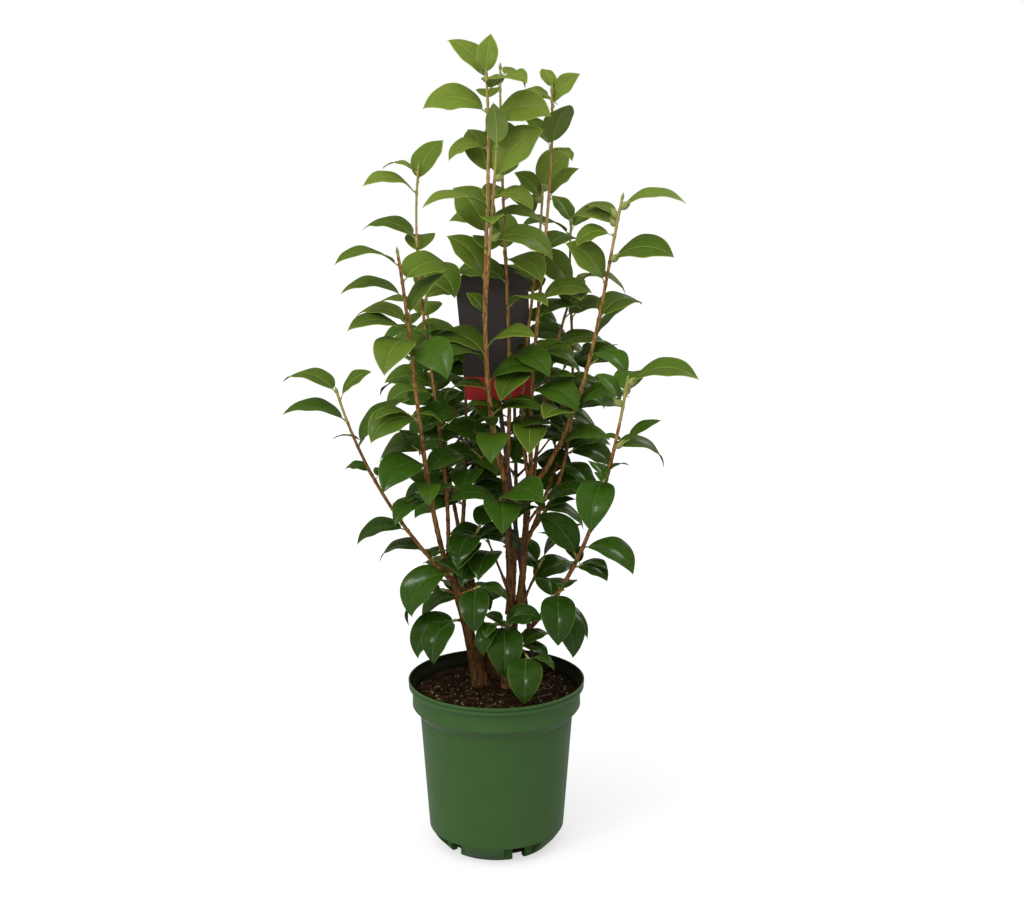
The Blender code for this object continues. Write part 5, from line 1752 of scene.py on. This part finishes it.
@dataclass
class NurseryPot:
    """The round nursery pot, with its rim bead, band, drain notches and inner steps."""

    wardrobe: Wardrobe
    rim_radius: float = 0.115
    height: float = 0.225
    wall: float = 0.0022
    foot_radius: float = 0.0692
    chamfer_radius: float = 0.0812
    chamfer_height: float = 0.0125
    body_foot_radius: float = 0.0887
    body_foot_height: float = 0.024
    body_top_radius: float = 0.0998
    body_top_height: float = 0.179
    band_radius: float = 0.1095
    band_foot_height: float = 0.191
    lip_height: float = 0.0038
    lip_wall: float = 0.0018
    bead_foot: float = 0.0102
    underside: float = 0.005
    foot_ring: float = 0.0075
    segments: int = 160
    sharp: float = 34.0
    notches: int = 5
    first_notch: float = -137.5
    hole_half_angle: float = 7.3
    recess_half_angle: float = 17.5
    notch_height: float = 0.0235
    recess_rise: float = 0.0003
    recess_radius: float = 0.0715
    hole_inner: float = 0.06
    cutter_foot: float = -0.004
    cutter_outside: float = 0.1
    cutter_steps: int = 6
    inside_depth: float = 0.0012
    inward: float = -0.1

    def profile(self) -> list[Pair]:
        """The whole section, from the middle of the underside round to the middle of the inner floor."""
        inner_band = self.band_radius - self.wall
        top = self.height
        low_lip = top - self.lip_height
        corners = [
            (0.0, self.underside, 0.0),
            (self.foot_radius - self.foot_ring, self.underside, 0.002),
            (self.foot_radius - self.foot_ring + 0.001, 0.0, 0.0008),
            (self.foot_radius, 0.0, 0.002),
            (self.chamfer_radius, self.chamfer_height, 0.02),
            (self.body_foot_radius, self.body_foot_height, 0.0045),
            (self.body_top_radius, self.body_top_height, 0.0016),
            (self.band_radius - 0.0004, self.band_foot_height - 0.0012, 0.0006),
            (self.band_radius + 0.0004, self.band_foot_height + 0.0002, 0.0006),
            (self.band_radius + 0.0002, self.band_foot_height + 0.0024, 0.001),
            (self.band_radius, top - 0.0145, 0.002),
            (self.rim_radius - 0.0022, top - self.bead_foot, 0.0004),
            (self.rim_radius - 0.0006, top - self.bead_foot + 0.0008, 0.0008),
            (self.rim_radius - 0.0008, low_lip - 0.002, 0.0006),
            (self.rim_radius - 0.0022, low_lip - 0.0014, 0.0003),
            (self.rim_radius - 0.002, low_lip - 0.0002, 0.0003),
            (self.rim_radius - 0.0002, low_lip, 0.0006),
            (self.rim_radius, top, 0.0006),
            (self.rim_radius - self.lip_wall, top, 0.0006),
            (self.rim_radius - self.lip_wall - 0.001, low_lip - 0.003, 0.003),
            (inner_band, top - 0.015, 0.003),
            (inner_band - 0.0002, self.band_foot_height + self.wall, 0.001),
            (self.body_top_radius - self.wall, self.body_top_height + self.wall, 0.002),
            (self.body_foot_radius - self.wall, self.body_foot_height + self.wall, 0.002),
            (self.recess_radius - self.wall, self.body_foot_height + self.wall, 0.002),
            (self.recess_radius - self.wall, self.underside + self.wall, 0.002),
            (0.0, self.underside + self.wall, 0.0),
        ]
        return rounded_profile(corners)

    def build(self) -> None:
        """Turn the pot, cut its drain notches and dress it."""
        profile = np.array(self.profile())
        angle = circle(self.segments)
        rings = profile[1:-1]
        points = np.stack((rings[:, :1] * np.cos(angle), rings[:, :1] * np.sin(angle),
                           rings[:, 1:] + np.zeros_like(angle)), axis=-1)
        centre = np.array(((0.0, 0.0, profile[0, 1]), (0.0, 0.0, profile[-1, 1])))
        bag = MeshBag()
        bag.add(np.concatenate((points.reshape(-1, 3), centre)), *turned_skin(len(rings), self.segments))
        pot = bag.build("nursery_pot", self.wardrobe.rows(*POT_FINISHES), self.sharp)
        self.cut_notches(pot)
        place(pot, Slot.POT, "pot")

    def notch_cutter(self, bearing: float, half_angle: float, inner: float, height: float) -> Piece:
        """A curved block that cuts into the pot's heel from outside.

        Args:
            bearing: The bearing of its middle, in radians.
            half_angle: Half its width, in radians.
            inner: How near to the axis it reaches, in metres.
            height: The height of its top.

        Returns:
            The cutter, not linked into the scene.
        """
        shape = bmesh.new()
        turns = bearing + np.linspace(-half_angle, half_angle, self.cutter_steps + 1)
        rows = []
        for level in (self.cutter_foot, height):
            for radius in (inner, self.cutter_outside):
                rows.append([shape.verts.new((radius * math.cos(turn), radius * math.sin(turn), level))
                             for turn in turns])
        inner_low, outer_low, inner_high, outer_high = rows
        for first, second in ((inner_low, outer_low), (outer_low, outer_high), (outer_high, inner_high),
                              (inner_high, inner_low)):
            for index in range(self.cutter_steps):
                shape.faces.new((first[index], first[index + 1], second[index + 1], second[index]))
        for index in (0, self.cutter_steps):
            shape.faces.new((inner_low[index], outer_low[index], outer_high[index], inner_high[index]))
        bmesh.ops.recalc_face_normals(shape, faces=shape.faces[:])
        mesh = bpy.data.meshes.new("notch")
        shape.to_mesh(mesh)
        shape.free()
        return bpy.data.objects.new("notch", mesh)

    def cut_notches(self, pot: Piece) -> None:
        """Cut every drain notch: a hole through the heel between two shallow recessed panels."""
        cutters = bpy.data.collections.new("notches")
        bpy.context.scene.collection.children.link(cutters)
        for index in range(self.notches):
            bearing = math.radians(self.first_notch) + FULL_TURN * index / self.notches
            for half_angle, inner, height in (
                    (self.hole_half_angle, self.hole_inner, self.notch_height),
                    (self.recess_half_angle, self.recess_radius, self.notch_height + self.recess_rise)):
                cutters.objects.link(self.notch_cutter(bearing, math.radians(half_angle), inner, height))
        change = pot.modifiers.new("notches", "BOOLEAN")
        change.operation = "DIFFERENCE"
        change.solver = "EXACT"
        change.operand_type = "COLLECTION"
        change.collection = cutters
        evaluated = pot.evaluated_get(bpy.context.evaluated_depsgraph_get())
        mesh = bpy.data.meshes.new_from_object(evaluated)
        pot.modifiers.remove(change)
        pot.data = mesh
        mesh.shade_smooth()
        mesh.set_sharp_from_angle(angle=math.radians(self.sharp))
        self.paint_inside(mesh)
        for cutter in list(cutters.objects):
            bpy.data.objects.remove(cutter, do_unlink=True)
        bpy.data.collections.remove(cutters)

    def paint_inside(self, mesh: bpy.types.Mesh) -> None:
        """Give the shell its outer finish, and its inner wall, below the rim and above the floor, the much
        darker inside one.
        """
        mesh.materials.clear()
        for finish in self.wardrobe.rows(*POT_FINISHES):
            mesh.materials.append(finish)
        count = len(mesh.polygons)
        centres, normals = (np.zeros(count * 3, dtype=np.float32) for _ in range(2))
        mesh.polygons.foreach_get("center", centres)
        mesh.polygons.foreach_get("normal", normals)
        centres = centres.reshape(-1, 3)
        flat = centres[:, :2]
        facing = (flat * normals.reshape(-1, 3)[:, :2]).sum(axis=1) / np.linalg.norm(flat, axis=1)
        below = centres[:, 2] < self.height - self.inside_depth
        above = centres[:, 2] > self.underside + self.wall * 0.5
        mesh.polygons.foreach_set("material_index", ((facing < self.inward) & below & above).astype(np.int32))


@dataclass
class SoilBed:
    """The potting soil: crumbly peat with bark chips, white grit and a few fine roots."""

    wardrobe: Wardrobe
    level: float = 0.207
    radius: float = 0.1068
    side: tuple[Pair, ...] = ((0.1062, 0.194), (0.0968, 0.181), (0.086, 0.0272), (0.0685, 0.0268),
                              (0.0685, 0.008))
    rings: int = 64
    spokes: int = 150
    crowding: float = 0.8
    lump: float = 0.0034
    lump_grains: Pair = (55.0, 170.0)
    lump_share: float = 0.55
    small_lumps: float = 0.6
    crumb: float = 0.0007
    crumb_grain: float = 520.0
    settled: float = 0.0006
    mound: float = 0.0052
    mound_reach: float = 0.019
    seed: int = 61
    litter_reach: float = 0.97
    litter_roughness: float = 0.28
    litter_lean: float = 0.5
    litter_lift: float = 0.35
    roots: int = 20
    root_reach: float = 0.85
    root_radius: Pair = (0.0003, 0.0007)
    root_points: int = 16
    root_sides: int = 5
    root_step: float = 0.0018
    root_lift: float = 0.0006
    root_taper: float = 0.35
    root_wander: float = 0.5

    def surface(self, x: float, y: float) -> float:
        """The height of the soil at a place."""
        spot = Vector((x, y, 0.0))
        large, small = (noise.noise(spot * grain) for grain in self.lump_grains)
        coarse = large + self.small_lumps * small
        fine = noise.noise(spot * self.crumb_grain)
        heap = sum(math.exp(-((x - limb.foot[0]) ** 2 + (y - limb.foot[1]) ** 2) / self.mound_reach ** 2)
                   for limb in TRUNKS)
        ground = self.level + self.lump * self.lump_share * coarse + self.crumb * fine
        return ground - self.settled + self.mound * min(1.0, heap)

    def build(self) -> None:
        """Build the bed and what lies on it."""
        place(self.bed(), Slot.SOIL, "soil")
        rule = random.Random(self.seed)
        for name, finish, count, sizes, flatness in (
                ("soil_chips", CHIP, 240, (0.002, 0.005), (0.75, 0.3)),
                ("soil_pale_chips", PALE_CHIP, 26, (0.0016, 0.005), (0.55, 0.2)),
                ("soil_crumbs", PEAT, 520, (0.0012, 0.0036), (0.9, 0.75)),
                ("soil_grit", GRIT, 190, (0.00035, 0.00105), (0.9, 0.8))):
            place(self.litter(name, finish, count, rule, sizes, flatness), Slot.SOIL)
        place(self.root_hairs(rule), Slot.SOIL)

    def scattered(self, rule: random.Random, share: float) -> Pair:
        """A seeded place on the bed, within a share of its radius."""
        radius = self.radius * share * math.sqrt(rule.random())
        angle = rule.uniform(0.0, FULL_TURN)
        return radius * math.cos(angle), radius * math.sin(angle)

    def bed(self) -> Piece:
        """The lumpy top, and the sides down to the pot's floor, which show through its drain notches."""
        reach = np.linspace(0.0, 1.0, self.rings)[1:] ** self.crowding * self.radius
        points = []
        for radius, height in (*((radius, None) for radius in reach), *self.side):
            for spoke in range(self.spokes):
                angle = FULL_TURN * spoke / self.spokes
                x, y = radius * math.cos(angle), radius * math.sin(angle)
                points.append((x, y, self.surface(x, y) if height is None else height))
        points.append((0.0, 0.0, self.surface(0.0, 0.0)))
        points.append((0.0, 0.0, self.side[-1][1]))
        bag = MeshBag()
        bag.add(np.array(points), *turned_skin(len(reach) + len(self.side), self.spokes, flipped=True))
        return bag.build("soil_bed", self.wardrobe.rows(PEAT), sharp=75.0)

    def litter(self, name: str, finish: Finish, count: int, rule: random.Random,
               sizes: Pair, flatness: Pair) -> Piece:
        """Many small lumps scattered on the bed.

        Args:
            name: The piece's name.
            finish: Its finish.
            count: How many lumps.
            rule: The seeded draws.
            sizes: The least and greatest radius, in metres.
            flatness: The lumps' breadth and height as shares of their length.

        Returns:
            The joined piece.
        """
        shape = bmesh.new()
        bmesh.ops.create_icosphere(shape, subdivisions=1, radius=1.0)
        base = np.array([tuple(vert.co) for vert in shape.verts])
        faces = np.array([[vert.index for vert in face.verts] for face in shape.faces])
        shape.free()
        bag = MeshBag()
        for _ in range(count):
            x, y = self.scattered(rule, self.litter_reach)
            size = rule.uniform(*sizes)
            rough = 1.0 + self.litter_roughness * np.array([rule.uniform(-1.0, 1.0) for _ in base])
            lump = base * rough[:, None] * np.array((1.0, flatness[0], flatness[1])) * size
            spin = rule.uniform(0.0, FULL_TURN)
            lean = rule.uniform(-self.litter_lean, self.litter_lean)
            turn = np.array(((math.cos(spin), -math.sin(spin), 0.0), (math.sin(spin), math.cos(spin), 0.0),
                             (0.0, 0.0, 1.0)))
            tilt = np.array(((1.0, 0.0, 0.0), (0.0, math.cos(lean), -math.sin(lean)),
                             (0.0, math.sin(lean), math.cos(lean))))
            lift = self.surface(x, y) + size * flatness[1] * self.litter_lift
            bag.add(lump @ tilt.T @ turn.T + np.array((x, y, lift)), (faces, 0))
        return bag.build(name, self.wardrobe.rows(finish), sharp=30.0)

    def root_hairs(self, rule: random.Random) -> Piece:
        """A few thin roots that lie along the bed."""
        bag = MeshBag()
        for _ in range(self.roots):
            x, y = self.scattered(rule, self.root_reach)
            heading = rule.uniform(0.0, FULL_TURN)
            thick = rule.uniform(*self.root_radius)
            centres = []
            for _ in range(self.root_points):
                centres.append((x, y, self.surface(x, y) + self.root_lift))
                heading += rule.uniform(-self.root_wander, self.root_wander)
                x += self.root_step * math.cos(heading)
                y += self.root_step * math.sin(heading)
            middle = np.array(centres)
            turn = circle(self.root_sides)
            way = np.gradient(middle, axis=0)
            way /= np.linalg.norm(way, axis=1)[:, None]
            side = np.cross(way, (0.0, 0.0, 1.0))
            side /= np.linalg.norm(side, axis=1)[:, None]
            taper = np.linspace(1.0, self.root_taper, self.root_points)[:, None] * thick
            rings = spread_out(middle, side, np.cross(side, way), np.cos(turn) * taper, np.sin(turn) * taper)
            bag.add(rings.reshape(-1, 3), *capped_tube(self.root_points, self.root_sides, 0, flipped=True))
        return bag.build("soil_roots", self.wardrobe.rows(ROOT), sharp=60.0)


@dataclass
class CareTag:
    """The blank care tag: a rounded charcoal paddle with a plain red foot, on a stake."""

    wardrobe: Wardrobe
    y: float = 0.058
    thickness: float = 0.001
    width: float = 0.093
    foot_width: float = 0.085
    top: float = 0.76
    arch: float = 0.034
    foot: float = 0.583
    shoulder: float = 0.004
    top_shift: float = -0.009
    x: float = 0.004
    stake_width: float = 0.006
    stake_shift: float = 0.048
    band: Pair = (0.583, 0.613)
    bow: float = 0.0016
    sag: float = 0.003
    columns: int = 13
    soil: float = 0.2035
    least_half: float = 0.0004
    stake_rows: int = 11
    shoulder_rows: int = 8
    paddle_rows: int = 24
    arc_rows: int = 24

    def section(self, height: float) -> Pair:
        """The middle and the half width of the tag at a height."""
        half_top = self.width / 2.0
        crown = self.top - self.arch
        if height >= crown:
            part = min(1.0, (height - crown) / self.arch)
            rounded = half_top * math.sqrt(max(0.0, 1.0 - part * part))
            return self.x + self.top_shift, max(self.least_half, rounded)
        if height >= self.foot:
            part = (height - self.foot) / (crown - self.foot)
            half = self.foot_width / 2.0 + (half_top - self.foot_width / 2.0) * part
            return self.x + self.top_shift * part, half
        neck = self.foot - self.shoulder
        part = min(1.0, (self.foot - height) / self.shoulder)
        slant = self.stake_shift * max(0.0, neck - height) / (neck - self.soil)
        return self.x + slant, self.foot_width / 2.0 + (self.stake_width - self.foot_width) / 2.0 * part

    def heights(self) -> list[float]:
        """The heights of the rows, closer together round the top."""
        neck = self.foot - self.shoulder
        crown = self.top - self.arch
        stake = list(np.linspace(self.soil, neck, self.stake_rows + 1)[:-1])
        shoulder = list(np.linspace(neck, self.foot, self.shoulder_rows + 1)[:-1])
        paddle = sorted({self.foot, *self.band, *np.linspace(self.foot, crown, self.paddle_rows)[:-1]})
        quarter = math.pi / 2.0
        steps = range(self.arc_rows + 1)
        arc = [crown + self.arch * math.sin(quarter * step / self.arc_rows) for step in steps]
        return stake + shoulder + paddle + arc

    def build(self) -> None:
        """Build both faces and the edge of the tag, with the band as rows of its own."""
        heights = np.array(self.heights())
        sections = np.array([self.section(height) for height in heights])
        across = np.linspace(-1.0, 1.0, self.columns)
        x = sections[:, :1] + sections[:, 1:] * across
        z = heights[:, None] + np.zeros_like(x)
        curve = self.bow * (across ** 2) * (sections[:, 1:] / (self.width / 2.0)) ** 2
        part = np.clip((heights - self.soil) / (self.top - self.soil), 0.0, 1.0)
        sag = self.sag * np.sin(part * np.pi)[:, None]
        front = np.stack((x, self.y + curve - sag - self.thickness / 2.0, z), axis=-1)
        back = np.stack((x, self.y + curve - sag + self.thickness / 2.0, z), axis=-1)
        count = len(heights)
        faces = grid_faces(count, self.columns).reshape(count - 1, self.columns - 1, 4)
        middle = (heights[:-1] + heights[1:]) / 2.0
        red = (middle > self.band[0]) & (middle < self.band[1])
        plain, banded = (faces[rows].reshape(-1, 4) for rows in (~red, red))
        total = count * self.columns
        edge = np.concatenate((np.arange(count) * self.columns,
                               total - self.columns + np.arange(1, self.columns),
                               np.arange(count - 1)[::-1] * self.columns + self.columns - 1,
                               np.arange(1, self.columns - 1)[::-1]))
        after = np.roll(edge, -1)
        rim = np.stack((edge, after, after + total, edge + total), axis=-1)
        bag = MeshBag()
        bag.add(np.concatenate((front.reshape(-1, 3), back.reshape(-1, 3))), (plain, 0), (banded, 1),
                (plain[:, ::-1] + total, 0), (banded[:, ::-1] + total, 1), (rim, 0))
        tag = bag.build("care_tag_sheet", self.wardrobe.rows(*TAG_FINISHES), sharp=35.0)
        place(tag, Slot.TAG, "care_tag")


@dataclass(frozen=True)
class PhotoCamera:
    """The camera, at the photograph's viewing angle."""

    place: Triple = (0.0204, -2.0, 0.95)
    pitch: float = 11.9
    focal_pixels: float = 1610.0
    image_width: float = 1024.0
    sensor: float = 36.0

    def build(self) -> None:
        """Make the camera and use it."""
        data = bpy.data.cameras.new("photo_camera")
        data.sensor_width = self.sensor
        data.sensor_fit = "HORIZONTAL"
        data.lens = self.sensor * self.focal_pixels / self.image_width
        camera = bpy.data.objects.new("photo_camera", data)
        camera.location = self.place
        camera.rotation_euler = (math.radians(90.0 - self.pitch), 0.0, 0.0)
        bpy.context.scene.collection.objects.link(camera)
        bpy.context.scene.camera = camera


@dataclass(frozen=True)
class SoftLight:
    """A large soft light that looks at the plant."""

    name: str
    place: Triple
    size: float
    power: float

    def build(self, target: Vector) -> None:
        """Make the light and aim it."""
        data = bpy.data.lights.new(self.name, "AREA")
        data.shape = "DISK"
        data.size = self.size
        data.energy = self.power
        light = bpy.data.objects.new(self.name, data)
        light.location = self.place
        light.rotation_euler = (target - Vector(self.place)).to_track_quat("-Z", "Y").to_euler()
        bpy.context.scene.collection.objects.link(light)


@dataclass(frozen=True)
class Studio:
    """A pale floor and soft light from all round."""

    floor_radius: float = 14.0
    floor_white: float = 0.93
    floor_glow: float = 0.6
    floor_bounce: float = 0.5
    floor_gloss: float = 0.2
    backdrop: float = 1.0
    sky: float = 0.8
    sky_gloss: float = 0.2
    white: Triple = (1.0, 1.0, 1.0)
    gloss_tint: Triple = (0.96, 1.0, 0.62)
    sun_power: float = 1.7
    sun_angle: float = 70.0
    sun_way: Triple = (0.34, 0.5, -1.0)
    middle: Triple = (0.0, 0.0, 0.55)
    lights: tuple[SoftLight, ...] = (
        SoftLight("key_light", (-1.9, -2.1, 2.2), 0.8, 20.0),
        SoftLight("rim_light", (1.6, 1.7, 2.0), 1.2, 9.0),
    )

    @staticmethod
    def by_ray(tree: Tree, seen: bpy.types.Node, felt: bpy.types.Node,
               shiny: bpy.types.Node) -> None:
        """Show one shader to the camera, another to the plant and a third to its highlights.

        Args:
            tree: The node tree.
            seen: The shader that the camera sees.
            felt: The shader that lights the plant.
            shiny: The shader that is mirrored in glossy leaves.
        """
        nodes = Nodes(tree)
        path = nodes.add("LightPath")
        end = next(node for node in tree.nodes if node.type.startswith("OUTPUT"))
        shown = felt
        for ray, shader in (("Is Glossy Ray", shiny), ("Is Camera Ray", seen)):
            mix = nodes.add("MixShader")
            nodes.link(path.outputs[ray], mix.inputs["Fac"])
            nodes.link(shown.outputs[0], mix.inputs[1])
            nodes.link(shader.outputs[0], mix.inputs[2])
            shown = mix
        nodes.link(shown.outputs["Shader"], end.inputs["Surface"])

    def build(self) -> None:
        """Make the floor, the sky and the lights."""
        bpy.context.scene.view_settings.view_transform = "Standard"
        self.build_sky()
        self.build_floor()
        data = bpy.data.lights.new("sun", "SUN")
        data.energy = self.sun_power
        data.angle = math.radians(self.sun_angle)
        sun = bpy.data.objects.new("sun", data)
        sun.rotation_euler = Vector(self.sun_way).to_track_quat("-Z", "Y").to_euler()
        sun.visible_glossy = False
        bpy.context.scene.collection.objects.link(sun)
        for light in self.lights:
            light.build(Vector(self.middle))

    def build_sky(self) -> None:
        """A white backdrop whose light on the plant is dimmer."""
        world = bpy.data.worlds.new("studio")
        world.use_nodes = True
        tree = world.node_tree
        tree.nodes.remove(tree.nodes["Background"])
        shaders = []
        for strength, tint in ((self.backdrop, self.white), (self.sky, self.white),
                               (self.sky_gloss, self.gloss_tint)):
            shader = tree.nodes.new("ShaderNodeBackground")
            shader.inputs["Color"].default_value = (*tint, 1.0)
            shader.inputs["Strength"].default_value = strength
            shaders.append(shader)
        self.by_ray(tree, *shaders)
        bpy.context.scene.world = world

    def build_floor(self) -> None:
        """A pale round floor that throws less light back up than it shows."""
        shape = bmesh.new()
        bmesh.ops.create_circle(shape, cap_ends=True, radius=self.floor_radius, segments=96)
        mesh = bpy.data.meshes.new("studio_floor")
        shape.to_mesh(mesh)
        shape.free()
        finish = bpy.data.materials.new("studio_floor")
        finish.use_nodes = True
        tree = finish.node_tree
        tree.nodes.remove(tree.nodes["Principled BSDF"])
        shaders = []
        for white in (self.floor_white, self.floor_bounce, self.floor_gloss):
            shader = tree.nodes.new("ShaderNodeBsdfDiffuse")
            shader.inputs["Color"].default_value = (white, white, white, 1.0)
            shaders.append(shader)
        glow = tree.nodes.new("ShaderNodeEmission")
        seen = tree.nodes.new("ShaderNodeMixShader")
        seen.inputs["Fac"].default_value = self.floor_glow
        tree.links.new(shaders[0].outputs["BSDF"], seen.inputs[1])
        tree.links.new(glow.outputs["Emission"], seen.inputs[2])
        self.by_ray(tree, seen, *shaders[1:])
        mesh.materials.append(finish)
        floor = bpy.data.objects.new("studio_floor", mesh)
        bpy.context.scene.collection.objects.link(floor)


def main() -> None:
    """Build the studio, the pot and the plant."""
    logging.basicConfig(level=logging.INFO, format="%(message)s")
    PhotoCamera().build()
    Studio().build()
    wardrobe = Wardrobe()
    NurseryPot(wardrobe).build()
    SoilBed(wardrobe).build()
    CareTag(wardrobe).build()
    Wood(wardrobe).build()
    Crown(wardrobe).build()


if __name__ == "__main__":
    main()
